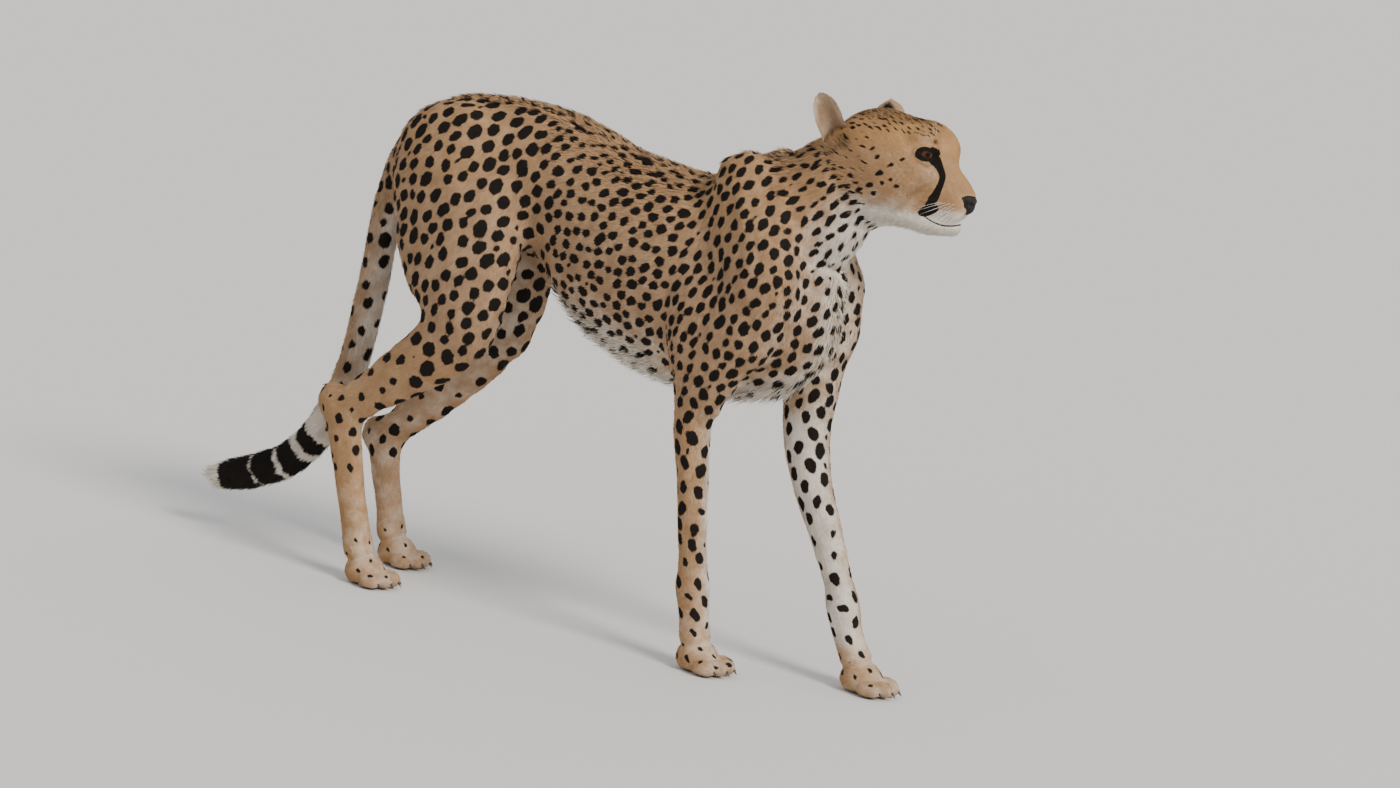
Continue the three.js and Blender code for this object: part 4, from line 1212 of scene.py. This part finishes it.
def spot_sizes():
    """The body's spacing and half sizes of spots in mm, and the points where spots may be."""
    body = slice(0, skin.count)
    zone, z, under = owner[body], points[body, 2], pale[body]
    spacing, long_half, wide_half = np.zeros((3, skin.count))
    for name, row in SPOTS.items():
        here = in_zone(zone, name)
        spacing[here], long_half[here], wide_half[here] = row
    top = smoothstep(0.72, 0.97, height[body]) * (on_trunk | on_neck)[body]
    wrist = smoothstep(0.035, 0.09, z) * in_zone(zone, "forepaw")
    heel = smoothstep(0.22, 0.1, z) * in_zone(zone, "hindfoot")
    smaller = 1 - 0.15 * under
    spacing = skin.soften(spacing * (1 - 0.16 * top) * (1 + 0.18 * under), 20)
    long_half = skin.soften(long_half * (1 + 0.12 * top) * (1 + wrist) * smaller, 20)
    wide_half = skin.soften(wide_half * (1 - 0.12 * top) * (1 + 0.8 * wrist) * smaller, 20)
    free = in_zone(zone, *SPOTS) & (z > 0.012) & (heel < 0.5)
    free &= ~(in_zone(zone, "tail_end") & (tail_way[body] < TIP_CLEAR))
    return spacing, np.stack((long_half, wide_half), 1), np.flatnonzero(free)


def place_spots():
    """Spots spread over the body: middles, axes and half sizes, in metres."""
    spacing, halves, free = spot_sizes()
    room, chosen, sizes = Room(), [], []
    # Large spots first, which are evened out, then a few small ones in what room is left.
    for apart, size in ((0.83, 1), (0.74, 0.4)):
        order = rng.permutation(free)
        if size < 1:
            order = order[: len(order) // 5]
            room, chosen = Room(), evened(chosen, free, spacing)
            for k in chosen:
                room.take(points[k])
        for k in order.tolist():
            if room.take(points[k], spacing[k] * apart * MM):
                chosen.append(k)
                sizes.append(size)
    chosen, sizes = np.array(chosen), np.array(sizes) * rng.uniform(0.82, 1.16, len(chosen))
    turn = rng.normal(0, 0.3, len(chosen))
    n, t = normals[chosen], surface["lie"][chosen]
    b = np.cross(n, t)
    one = t * np.cos(turn)[:, None] + b * np.sin(turn)[:, None]
    halves = halves[chosen] * sizes[:, None]
    halves[:, 0] *= rng.uniform(0.88, 1.2, len(chosen))
    return points[chosen], one, np.cross(n, one), n, halves * MM


def set_apart(at, one, two, up, halves):
    """Shrinks most of the spots that would touch."""
    tree = point_tree(at)
    near = np.array([[hit[1] for hit in tree.find_n(p, 8)[1:]] for p in at.tolist()])
    way = at[near] - at[:, None]
    distance = np.linalg.norm(way, axis=2)
    reach = 0
    for spot in (np.arange(len(at))[:, None], near):
        u = (way * one[spot]).sum(2) / halves[spot, 0]
        v = (way * two[spot]).sum(2) / halves[spot, 1]
        reach = reach + distance / np.sqrt(u**2 + v**2 + 1e-9)
    room = ((distance - SPOT_GAP * MM) / reach).min(1)
    room[rng.random(len(at)) < 0.05] = 1
    return at, one, two, up, halves * np.clip(room, 0.6, 1)[:, None]


def place_head_spots():
    """Cheek spots on both sides, and speckles over the crown and behind the cheeks."""
    rows = []
    tree = surface_tree(skin.points, skin.tris)
    for side in (-1, 1):
        for x, z, half, wide in CHEEK_SPOTS:
            shift = rng.uniform(-2.5, 2.5, 2) * (side > 0)
            start = from_head((x + shift[0], side * 150, z + shift[1]))
            hit, normal, _, _ = tree.ray_cast(Vector(start), Vector(-side * head_y))
            if hit is None:
                continue
            n = np.array(normal)
            way = unit(from_head((-0.75, 0, -0.55)) - HEAD_AT)
            one = along_skin(way[None], n[None])[0]
            rows.append((np.array(hit), one, np.cross(n, one), n, np.array((half, wide)) * 1.1))
    head, x, z = (v[: skin.count] for v in (on_head, hx, hz))
    crown = head & (z > 24) & (x < 8)
    nape = head & (x < -78) & (z > -80)
    room = Room()
    for k in rng.permutation(np.flatnonzero(crown | nape)).tolist():
        gap, long_half = (7.6, 4.3) if crown[k] else (11, 4.2)
        if not room.take(points[k], gap * MM):
            continue
        n, one = normals[k], surface["lie"][k]
        half = rng.uniform(0.6, 1.35) * long_half
        wide = half * rng.uniform(0.27, 0.42)
        rows.append((points[k], one, np.cross(n, one), n, np.array((half, wide))))
    return [np.array([row[k] for row in rows]) * (MM if k == 4 else 1) for k in range(5)]


all_spots = [np.concatenate(pair) for pair in zip(set_apart(*place_spots()), place_head_spots())]
spot_at, spot_one, spot_two, spot_up, spot_halves = all_spots
spot_tree = point_tree(spot_at)


def near_spots(p):
    return np.array([[hit[1] for hit in spot_tree.find_n(q, 4)] for q in p.tolist()])


def spot_depth(p, near):
    """How deep each point is inside one of the spots near it, in mm, below 0 outside."""
    p = wobble(p, 420, 0.8 * MM)
    best = np.full(len(p), -FAR * 1.0)
    for spot in near.T:
        d = p - spot_at[spot]
        u = (d * spot_one[spot]).sum(1) / spot_halves[spot, 0]
        v = (d * spot_two[spot]).sum(1) / spot_halves[spot, 1]
        w = (d * spot_up[spot]).sum(1) / (1.5 * spot_halves[spot, 1])
        q = np.sqrt(u**2 + v**2 + w**2)
        best = np.maximum(best, (1 - q) * spot_halves[spot].mean(1) / MM)
    return best


def spots_and_rings(p, near, ringed):
    return np.clip(np.maximum(spot_depth(p, near), ring_depth(p, ringed)), -CLEAR, CLEAR)


ringed = in_zone(owner, "tail_end", "tail_tip")
spot = spots_and_rings(points, near_spots(points), ringed)
spot = np.where(kind == KIND_SKIN, spot, -CLEAR)


# ---------------- materials
SAND = (0.41, 0.257, 0.147, 1)
WARM = (0.47, 0.262, 0.112, 1)
PALE = (0.74, 0.675, 0.585, 1)
BLACK = (0.012, 0.009, 0.007, 1)
SOOT = (0.016, 0.012, 0.010, 1)


class Looks:
    """A material, with short ways to add and link its shader nodes."""

    def __init__(self, name):
        self.made = bpy.data.materials.new(name)
        self.made.use_nodes = True
        self.tree = self.made.node_tree
        self.coordinates = self.tree.nodes.new("ShaderNodeTexCoord").outputs["Object"]

    def fill(self, node, inputs):
        """Sets a node's inputs, or links those that come from another node."""
        for key, value in inputs.items():
            if isinstance(value, bpy.types.NodeSocket):
                self.tree.links.new(value, node.inputs[key])
            else:
                node.inputs[key].default_value = value
        return node

    def finish(self, **inputs):
        """Sets the inputs of the material's own shader, whose names have spaces for underlines."""
        named = {key.replace("_", " "): value for key, value in inputs.items()}
        self.fill(self.tree.nodes["Principled BSDF"], named)
        return self.made

    def add(self, kind, inputs, **settings):
        node = self.tree.nodes.new("ShaderNode" + kind)
        for key, value in settings.items():
            setattr(node, key, value)
        return self.fill(node, inputs)

    def attribute(self, name):
        return self.add("Attribute", {}, attribute_name=name).outputs["Fac"]

    def noise(self, scale, detail, stretch=None):
        place = self.coordinates
        if stretch:
            place = self.add("Mapping", {"Vector": place, "Scale": stretch}).outputs["Vector"]
        inputs = {"Vector": place, "Scale": scale, "Detail": detail}
        return self.add("TexNoise", inputs).outputs["Fac"]

    def math(self, operation, a, b=0.0, c=0.0):
        return self.add("Math", {0: a, 1: b, 2: c}, operation=operation).outputs[0]

    def ramp(self, value, low, high, to_low=0.0, to_high=1.0):
        inputs = {"Value": value, "From Min": low, "From Max": high, "To Min": to_low, "To Max": to_high}
        return self.add("MapRange", inputs, interpolation_type="SMOOTHSTEP").outputs["Result"]

    def mix(self, share, a, b, blend="MIX"):
        kinds = {"data_type": "RGBA", "blend_type": blend}
        return self.add("Mix", {0: share, 6: a, 7: b}, **kinds).outputs[2]

    def bump(self, height, strength, distance):
        inputs = {"Height": height, "Strength": strength, "Distance": distance}
        return self.add("Bump", inputs).outputs["Normal"]


def fur_material(name, is_skin):
    """The coat's colours, from what each point holds, finely broken up."""
    n = Looks(name)
    patches, fine = n.noise(38, 3), n.noise(900, 2)
    base = n.mix(n.attribute("warm"), SAND, WARM)
    pale_share = n.math("ADD", n.attribute("pale"), n.ramp(patches, 0.3, 0.7, -0.12, 0.12))
    base = n.mix(n.ramp(pale_share, 0.0, 1.0), base, PALE)
    tone = n.ramp(fine, 0.25, 0.75, 0.82, 1.14)
    if not is_skin:
        own = n.ramp(n.attribute("tone"), 0, 1, 0.9, 1.1)
        tone = n.math("MULTIPLY", own, n.ramp(fine, 0.2, 0.8, 0.93, 1.07))
    tone = n.math("MULTIPLY", tone, n.ramp(patches, 0.25, 0.75, 0.9, 1.08))
    grey = n.add("CombineColor", {0: tone, 1: tone, 2: tone}).outputs[0]
    base = n.mix(1.0, base, grey, "MULTIPLY")
    edge = n.math("ADD", n.attribute("spot"), n.math("MULTIPLY_ADD", fine, 2.4, -1.2))
    black = n.mix(n.attribute("warm"), BLACK, SOOT)
    base = n.mix(n.ramp(edge, -1.1, 0.9), base, black)
    dark_edge = n.math("ADD", n.attribute("dark"), n.math("MULTIPLY_ADD", fine, 0.4, -0.2))
    base = n.mix(n.ramp(dark_edge, 0.3, 0.75), base, BLACK)
    if not is_skin:
        return n.finish(Base_Color=base, Roughness=0.75, Specular_IOR_Level=0.14)
    leather = n.attribute("leather")
    hairs = n.bump(n.noise(700, 4, (1, 1, 0.3)), 0.35, 0.0012)
    base, rough = n.mix(leather, base, BLACK), n.ramp(leather, 0, 1, 0.8, 0.45)
    return n.finish(Base_Color=base, Roughness=rough, Normal=hairs, Specular_IOR_Level=0.14)


skin_fur = fur_material("skin_fur", True)
coat_fur = fur_material("coat_fur", False)

# ---------------- the skin's object
skin_mesh = new_mesh("skin", points, surface["tris"])
set_smooth(skin_mesh)
MARKS_AND_PAINTED_LIGHT = {"spot": spot, "pale": pale, "warm": warm, "dark": dark, "leather": leather}
for name, values in MARKS_AND_PAINTED_LIGHT.items():
    add_attribute(skin_mesh, name, values)
skin_mesh.materials.append(skin_fur)
new_object("skin", skin_mesh, "spotted_fur", FLESH + EARS)

# ---------------- the coat's own sizes
coat = surface["coat"]
length, width, lift, spacing = coat[:, 1], coat[:, 2], coat[:, 3], coat[:, 4]
on_body = kind == KIND_SKIN
head_skin = on_head * on_body
belly_way = smoothstep(0.1, -0.6, nz - 0.5 * np.abs(nx))
under = (on_trunk | on_neck) * smoothstep(0.3, 0.95, pale) * belly_way
muzzle = head_skin * smoothstep(6, 28, hx)
ear_feet = np.array([ear_line(name)[0] for name in EAR_SHAPES]) + EAR_FOOT
from_ear = np.linalg.norm(local[:, None] - ear_feet, axis=2).min(1)
# Where the coat differs, how much longer it is, as a share, and how much more it stands up.
for where, longer, raised in (
    (smoothstep(0.75, 0.98, height) * on_trunk, 0.45, 0.16),  # the back's crest
    (on_neck * smoothstep(0.2, 0.8, nz), 0.5, 0.14),  # nape
    (under, np.where(on_neck, 0.35, 1.7), np.where(on_neck, 0.05, 0.25)),  # belly and throat
    (in_zone(owner, "thigh", "hindquarters") * smoothstep(-0.5, -0.95, nx), 0.2, 0.08),  # rear
    (muzzle, -0.5, 0),
    (head_skin * smoothstep(-88, -104, hz), 0.9, 0.2),  # chin
    (head_skin * smoothstep(-50, -90, hx) * smoothstep(10, -30, hz), 0.9, 0.06),  # ruff
    (disc(from_ear, EAR_RING) * head_skin, 1.5, 0.26),  # round the ears
    (hump(lip, 7) * head_skin, -0.45, 0),  # lips
    (head_skin * smoothstep(24, 40, hz), 0, 0.1),  # crown
    (head_skin * smoothstep(50, 25, from_lids), -0.45, 0),  # round the eyes
):
    length = length * (1 + longer * where)
    lift = lift + raised * where
width = width * (1 - 0.25 * muzzle)
spacing = spacing * (1 - 0.22 * muzzle)
bare = (leather > 0.5) & (on_head | on_paw)
bare |= head_skin & (from_lids < LAID_OVER - 2)
bare |= head_skin & (off_nose < 0.6)
bare |= on_head & (lip < 0.8)
bare |= (kind == KIND_LID) & (surface["rim"] > 0.45)

# ---------------- tufts
tris = surface["tris"]
ZONES = {
    **{name: (name,) for name in ("head", "neck", "chest", "loin")},
    "rump": ("hindquarters",),
    "shoulders": ("shoulder",),
    "thighs": ("thigh",),
    "legs": ("forearm", "shank", "hindfoot"),
    "paws": ("forepaw", "hindpaw"),
    "tail": ("tail_root", "tail_middle", "tail_end", "tail_tip"),
}
MOST_TUFTS = 19500  # in one object


def sown_roots():
    """Roots spread over the surface: each one's triangle and its place in it."""
    a, b, c = (points[tris[:, k]] for k in range(3))
    area = np.linalg.norm(np.cross(b - a, c - a), axis=1) / 2
    gap = spacing[tris].mean(1) * MM
    covered = ~bare[tris].any(1)
    expected = np.where(covered, area / gap**2, 0)
    number = np.floor(expected + rng.random(len(tris))).astype(int)
    face = np.repeat(np.arange(len(tris)), number)
    u, v = rng.random((2, len(face)))
    over = u + v > 1
    u[over], v[over] = 1 - u[over], 1 - v[over]
    return face, np.stack((1 - u - v, u, v), 1)


face, weights = sown_roots()
corners = tris[face]


def at_roots(values):
    share = weights if values.ndim == 1 else weights[..., None]
    return (values[corners] * share).sum(1)


root = at_roots(points)
root_normal = unit(at_roots(normals))
root_lie = along_skin(at_roots(surface["lie"]), root_normal)
root_zone = owner[corners[:, 0]]
root_kind = kind[corners[:, 0]]
marks_and_painted_light = {name: at_roots(values) for name, values in MARKS_AND_PAINTED_LIGHT.items()}
marks_and_painted_light["tone"] = rng.random(len(root))
tuft_length = at_roots(length) * rng.uniform(0.7, 1.25, len(root)) * MM
tuft_width = at_roots(width) * rng.uniform(0.8, 1.2, len(root)) * MM
tuft_lift = at_roots(lift) * rng.uniform(0.5, 1.5, len(root))
turn = rng.normal(0, 0.2, len(root))[:, None]
across = np.cross(root_normal, root_lie)
root_way = root_lie * np.cos(turn) + across * np.sin(turn)
across = np.cross(root_normal, root_way)

# The markings and the painted shade are read where each part of a tuft lies, not only at its root.
ALONG_TUFT = (0, 0.4, 0.8)  # the foot, the middle and the tip, as shares of its length
RING_OF_POINT = (0, 0, 0, 1, 1, 1, 2)  # which of them each of a tuft's points belongs to
root_near = near_spots(root)
root_ringed = in_zone(root_zone, "tail_end", "tail_tip")
root_hairy_head = in_zone(root_zone, "head") & (root_kind != KIND_EAR)
drawn = {"spot": [], "dark": []}
for way in ALONG_TUFT:
    p = root + root_way * (tuft_length * way)[:, None]
    depth = spots_and_rings(p, root_near, root_ringed)
    depth = np.where(root_kind == KIND_SKIN, depth, -CLEAR)
    black = marks_and_painted_light["dark"].copy()
    black[root_hairy_head] = head_black(to_head(p[root_hairy_head]))
    mixed = smoothstep(0.1, 0.3, black) * (black < 0.6) * (root_kind == KIND_SKIN)
    black = black + (marks_and_painted_light["tone"] - 0.5) * 0.5 * mixed
    drawn["spot"].append(depth)
    drawn["dark"].append(black)
drawn = {name: np.stack([rings[k] for k in RING_OF_POINT], 1) for name, rings in drawn.items()}


# A tuft's middle and its tip: how far along the tuft they are, as a share of its length, and how
# much of its lift they have. The middle's third value and the foot's are half widths, as shares
# of its width.
TUFT_MIDDLE = (0.45, 0.62, 0.5)
TUFT_TIP = (0.98, 0.9)
TUFT_FOOT_HALF = 0.4
TUFT_RIDGE = 0.4  # how high its ridge is, as a share of its width
FOOT_SUNK = 0.8 * MM  # how far its foot goes into the skin, and its ridge stands up and back
FOOT_RIDGE = 0.5 * MM
FOOT_BACK = 0.2 * MM
MIDDLE_SUNK = 0.1 * MM
TUFT_POINTS = 7


def tuft_points(chosen):
    """Seven points for each tuft: two rings of three, and the tip."""
    p, n, way, side = root[chosen], root_normal[chosen], root_way[chosen], across[chosen]
    long, wide, rise = (v[chosen][:, None] for v in (tuft_length, tuft_width, tuft_lift))
    along, lifted, half = TUFT_MIDDLE
    ridge = wide * TUFT_RIDGE
    low = p - n * FOOT_SUNK
    mid = p + way * long * along + n * (long * rise * lifted - MIDDLE_SUNK)
    foot_side, mid_side = side * wide * TUFT_FOOT_HALF, side * wide * half
    foot = (low - foot_side, low + foot_side, low + n * (ridge + FOOT_RIDGE) - way * FOOT_BACK)
    tip = p + way * long * TUFT_TIP[0] + n * long * rise * TUFT_TIP[1]
    return np.stack((*foot, mid - mid_side, mid + mid_side, mid + n * ridge, tip), 1)


TUFT_FACES = np.array([
    (0, 2, 1), (0, 1, 4), (0, 4, 3), (1, 2, 5), (1, 5, 4),
    (2, 0, 3), (2, 3, 5), (3, 4, 6), (4, 5, 6), (5, 3, 6),
])
# A tuft's own small patch of its zone's unrolled skin, in the map named OFBake.
PATCH_SIZE = 0.003
TUFT_PATCH = PATCH_SIZE * np.array(
    [(-0.5, -0.5), (0.5, -0.5), (0, -0.25), (-0.5, 0.1), (0.5, 0.1), (0, 0.2), (0, 0.5)]
)
FIT_POINTS = 4000  # about how many roots the long axis of a zone is found from


def unwrapped(p):
    """Each root's place on the zone's skin, unrolled round the zone's long axis."""
    middle, axes = axes_of(p, max(1, len(p) // FIT_POINTS))
    q = (p - middle) @ axes.T
    u = np.arctan2(q[:, 1], q[:, 2]) / (2 * np.pi) + 0.5
    v = (q[:, 0] - q[:, 0].min()) / np.ptp(q[:, 0])
    return np.stack((u, v), 1) * (1 - 2 * PATCH_SIZE) + PATCH_SIZE


OFF_FLOOR = 0.2 * MM


def add_coat(name, chosen):
    """One object of tufts, whose normals lean on those of the skin, so that it shades softly."""
    p = tuft_points(chosen)
    p[..., 2] = np.maximum(p[..., 2], OFF_FLOOR)
    first = np.arange(len(chosen))[:, None, None] * TUFT_POINTS
    faces = (TUFT_FACES[None] + first).reshape(-1, 3)
    flat = p.reshape(-1, 3)
    mesh = new_mesh(name, flat, faces)
    set_smooth(mesh)
    for key in ("pale", "warm", "tone"):
        add_attribute(mesh, key, np.repeat(marks_and_painted_light[key][chosen], TUFT_POINTS))
    for key, values in drawn.items():
        add_attribute(mesh, key, values[chosen].ravel())
    place = unwrapped(root[chosen])[:, None] + TUFT_PATCH[None]
    layer = mesh.uv_layers.new(name="OFBake")
    layer.data.foreach_set("uv", place.reshape(-1, 2)[faces.ravel()].astype(np.float32).ravel())
    up = np.repeat(root_normal[chosen], TUFT_POINTS, 0)
    corner = unit(normals_of(flat, faces) * 0.3 + up * 0.85)[faces.ravel()].reshape(-1, 3, 3)
    a, b, c = (flat[faces[:, k]] for k in range(3))
    facing = unit(np.cross(b - a, c - a))
    underside = (facing * up[faces[:, 0]]).sum(1) < -0.05
    corner[underside] = facing[underside][:, None]
    mesh.normals_split_custom_set(corner.reshape(-1, 3).astype(np.float32))
    mesh.materials.append(coat_fur)
    new_object(name, mesh, "spotted_fur")


for zone, kinds in ZONES.items():
    inside = np.flatnonzero(in_zone(root_zone, *kinds))
    groups = math.ceil(len(inside) / MOST_TUFTS)
    order = inside[np.argsort(root[inside, 1], kind="stable")]
    for number, chosen in enumerate(np.array_split(order, groups)):
        add_coat(f"coat_{zone}" + (f"_{number + 1}" if groups > 1 else ""), chosen)


# ---------------- eyes, nose, claws, whiskers
PUPIL = (0.002, 0.002, 0.002, 1)
IRIS_EDGE = (0.04, 0.014, 0.005, 1)
# The eye's colours between the pupil and the rim, by degrees from the gaze as a share of 60.
IRIS = [
    (0.17, (0.003, 0.002, 0.002, 1)),
    (0.20, IRIS_EDGE),
    (0.38, (0.10, 0.036, 0.010, 1)),
    (0.52, IRIS_EDGE),
    (0.60, (0.012, 0.006, 0.004, 1)),
]
EYE_RIM = (0.01, 0.006, 0.004, 1)


def eye_material():
    n = Looks("eye")
    look = n.math("SUBTRACT", n.attribute("look"), 2.0)
    streaked = n.math("MULTIPLY_ADD", n.noise(420, 3), 4.0, look)
    ramp = n.add("ValToRGB", {"Fac": n.math("DIVIDE", streaked, 60.0)})
    stops = ramp.color_ramp.elements
    stops[0].position, stops[0].color = 0.0, PUPIL
    stops[1].position, stops[1].color = 1.0, EYE_RIM
    for place, colour in IRIS:
        stops.new(place).color = colour
    coat = {"Coat_Weight": 0.15, "Coat_Roughness": 0.02}
    colour = ramp.outputs["Color"]
    return n.finish(Base_Color=colour, Roughness=0.3, Specular_IOR_Level=0.1, **coat)


def leather_material():
    n = Looks("nose_leather")
    pebbles = n.add("TexVoronoi", {"Vector": n.coordinates, "Scale": 900.0}).outputs["Distance"]
    tint = n.ramp(n.noise(260, 3), 0.3, 0.7)
    return n.finish(
        Base_Color=n.mix(tint, (0.006, 0.005, 0.005, 1), (0.018, 0.014, 0.013, 1)),
        Normal=n.bump(pebbles, 0.5, 0.0006),
        Roughness=n.ramp(pebbles, 0.0, 0.5, 0.46, 0.6),
        Specular_IOR_Level=0.3,
    )


def horn_material():
    n = Looks("claw_horn")
    grain = n.noise(500, 3, (0.2, 1, 1))
    tint = n.ramp(grain, 0.3, 0.7)
    return n.finish(
        Base_Color=n.mix(tint, (0.018, 0.014, 0.012, 1), (0.06, 0.048, 0.04, 1)),
        Normal=n.bump(grain, 0.25, 0.0004),
        Roughness=0.35,
    )


def whisker_material():
    n = Looks("whisker")
    tint = n.ramp(n.noise(300, 2), 0.3, 0.7)
    colour = n.mix(tint, (0.75, 0.72, 0.68, 1), (0.9, 0.88, 0.85, 1))
    return n.finish(Base_Color=colour, Roughness=0.4)


def add_eyes():
    eye = eye_material()
    for side, label in ((-1, "right"), (1, "left")):
        mesh = eyeball(side)
        mesh.materials.append(eye)
        new_object(f"eyeball_{label}", mesh, "eye", [f"eye_{label}"])


NOSE_FROM = np.array((54, 0, -61.0))  # the point inside the nose from which its surface is found
NOSE_REACH = 30.0  # mm, farther than any of it
NOSE_CLEFT = np.array(((71, 0, -58.0), (68, 0, -67), (62, 0, -78)))


def add_nose():
    """The nose leather: the surface of its forms, with nostrils and a cleft pressed in."""
    ahead, left, up = np.eye(3)
    ways, quads = ball(48, 64, ahead, up, left)
    near, far = np.zeros(len(ways)), np.full(len(ways), NOSE_REACH)
    for _ in range(24):
        mean = (near + far) / 2
        inside = nose_field(NOSE_FROM + ways * mean[:, None]) < 0
        near, far = np.where(inside, mean, near), np.where(inside, far, mean)
    p = NOSE_FROM + ways * near[:, None]
    for side in (-1, 1):
        d, along = distance_to_line(p, curve_through(mirrored(NOSTRIL, side), 6))
        p = p - ways * (hump(d, 2.6) * (4.2 - 2.4 * along))[:, None]
        wing = mirrored(NOSTRIL, side) + (1, side * 0.5, 4)
        d, _ = distance_to_line(p, curve_through(wing, 6))
        p = p + ways * (hump(d, 3) * 0.9)[:, None]
    d, _ = distance_to_line(p, NOSE_CLEFT)
    p = p - ways * (hump(d, 1.6) * 1.5)[:, None]
    mesh = new_mesh("nose_leather", from_head(p), quads[:, ::-1])
    set_smooth(mesh)
    mesh.materials.append(leather_material())
    new_object("nose_leather", mesh, "nose_leather", ["nose"])


ALMOST_UP = (0.02, 0.05, 1.0)  # a way that no claw or whisker runs along


def tube(path, radii, sides=8):
    """A closed tube round a path, with a radius at each point: points and triangles."""
    path = np.array(path, float)
    along = unit(np.gradient(path, axis=0))
    side = unit(np.cross(along, ALMOST_UP))[:, None]
    up = np.cross(side, along[:, None])
    turn = (np.arange(sides) / sides * 2 * np.pi)[None, :, None]
    ring = np.cos(turn) * side + np.sin(turn) * up
    p = path[:, None] + ring * np.array(radii)[:, None, None]
    p = np.concatenate((p.reshape(-1, 3), path[:1], path[-1:]))
    k = np.arange(sides)
    after = (k + 1) % sides
    first, last = np.full(sides, len(p) - 2), np.full(sides, len(p) - 1)
    end = (len(path) - 1) * sides
    caps = np.stack((first, k, after), 1), np.stack((last, end + after, end + k), 1)
    return p, np.concatenate((split(ring_quads(len(path), sides)), *caps))


def add_joined(name, pieces, looks, slot, stands_for=()):
    """One object of several closed pieces."""
    points, faces, base = [], [], 0
    for p, f in pieces:
        points.append(p)
        faces.append(f + base)
        base += len(p)
    mesh = new_mesh(name, np.concatenate(points), np.concatenate(faces))
    set_smooth(mesh)
    mesh.materials.append(looks)
    new_object(name, mesh, slot, stands_for)


# A claw curves down from its root at the node's back and top to a thin tip, all in metres.
CLAW_LENGTH = 0.58  # as a share of the node's
CLAW_RADIUS = 0.0027
CLAW_TIP = 0.0002
CLAW_TOP = 0.003
CLAW_ARCH = 0.001
CLAW_DROP = 0.0062


def add_claws():
    pieces = []
    t = np.linspace(0, 1, 10)
    for name in CLAWS:
        low, high = (np.array(corner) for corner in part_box(name))
        ahead = low[0] + (high[0] - low[0]) * t * CLAW_LENGTH
        up = high[2] - CLAW_TOP + CLAW_ARCH * np.sin(t * np.pi) - CLAW_DROP * t**2.2
        path = np.stack((ahead, np.full(len(t), (low[1] + high[1]) / 2), up), 1)
        pieces.append(tube(path, CLAW_RADIUS * (1 - t) ** 0.6 + CLAW_TIP))
    add_joined("claws", pieces, horn_material(), "claw", CLAWS)


WHISKER_RADIUS = 0.26  # mm at the root, and for the hairs over the eyes
BROW_RADIUS = 0.16
HAIR_TIP = 0.05  # mm, the radius at the tip


def add_whiskers():
    """Four rows of four whiskers on each side, and two long hairs over each eye."""
    pieces = []
    tree = surface_tree(skin.points, skin.tris)
    t = np.linspace(0, 1, 8)

    def on_skin(p):
        hit = tree.find_nearest(Vector(from_head(p)))[0]
        return to_head(np.array(hit)[None])[0]

    def add_hair(path, radius):
        pieces.append(tube(from_head(path), (radius * (1 - t) + HAIR_TIP) * MM, 4))

    for side in (-1, 1):
        for row, k in itertools.product(range(4), range(4)):
            at = np.array((44 - 6 * k + 1.5 * row, side * 60, -62 - 5.5 * row))
            at[:2] += rng.uniform(-1, 1, 2)
            start = on_skin(at - (0, side * 36, 0))
            reach = rng.uniform(22, 44) * (0.75 + 0.1 * k)
            way = np.array((-0.25 - 0.12 * k, side * 0.85, -0.22 - 0.12 * row))
            way = unit(way + rng.normal(0, 0.08, 3))
            droop = np.array((-0.55, 0, -0.4)) * reach * 0.5
            add_hair(start + np.outer(t, way) * reach + np.outer(t**2, droop) - way, WHISKER_RADIUS)
        for k in range(2):
            start = on_skin((4 + 4 * k, side * 30, 25 + k))
            bend = np.outer(t, (6, side * 5, 22)) + np.outer(t**2, (-8, side * 4, -2))
            add_hair(start + bend, BROW_RADIUS)
    add_joined("whiskers", pieces, whisker_material(), "pale_fur")


add_eyes()
add_nose()
add_claws()
add_whiskers()


# ---------------- stage, camera, light
FLOOR_RADIUS = 70  # metres
SKY = (0.93, 0.96, 1, 1)
SKY_STRENGTH = 0.75
SUN = (1, 0.95, 0.88)
SUN_STRENGTH = 2.6
SUN_WIDTH = 18  # degrees
SUN_WAY = (0.9, -0.3, 0.75)


def add_floor():
    bm = bmesh.new()
    bmesh.ops.create_circle(bm, cap_ends=True, segments=96, radius=FLOOR_RADIUS)
    mesh = bpy.data.meshes.new("floor")
    bm.to_mesh(mesh)
    bm.free()
    floor = new_object("floor", mesh)
    mesh.materials.append(Looks("floor").finish(Base_Color=(0.78, 0.76, 0.73, 1), Roughness=0.9))


def add_light():
    world = bpy.data.worlds.new("studio")
    bpy.context.scene.world = world
    world.use_nodes = True
    sky = world.node_tree.nodes["Background"]
    sky.inputs["Color"].default_value = SKY
    sky.inputs["Strength"].default_value = SKY_STRENGTH
    sun = bpy.data.lights.new("key", "SUN")
    sun.energy = SUN_STRENGTH
    sun.angle = math.radians(SUN_WIDTH)
    sun.color = SUN
    lamp = bpy.data.objects.new("key", sun)
    lamp.rotation_euler = Vector(SUN_WAY).to_track_quat("Z", "Y").to_euler()
    bpy.context.scene.collection.objects.link(lamp)


def add_camera():
    data = bpy.data.cameras.new("camera")
    data.lens = CAMERA_LENS
    data.sensor_width = SENSOR
    data.clip_end = 500
    camera = bpy.data.objects.new("camera", data)
    right, up = Vector(CAMERA_RIGHT), Vector(CAMERA_UP)
    back = right.cross(up)
    turn = Matrix((right, up, back)).transposed().to_4x4()
    camera.matrix_world = Matrix.Translation(Vector(HEAD_AT) + Vector(CAMERA_FROM_HEAD)) @ turn
    bpy.context.scene.collection.objects.link(camera)
    bpy.context.scene.camera = camera


add_floor()
add_light()
add_camera()
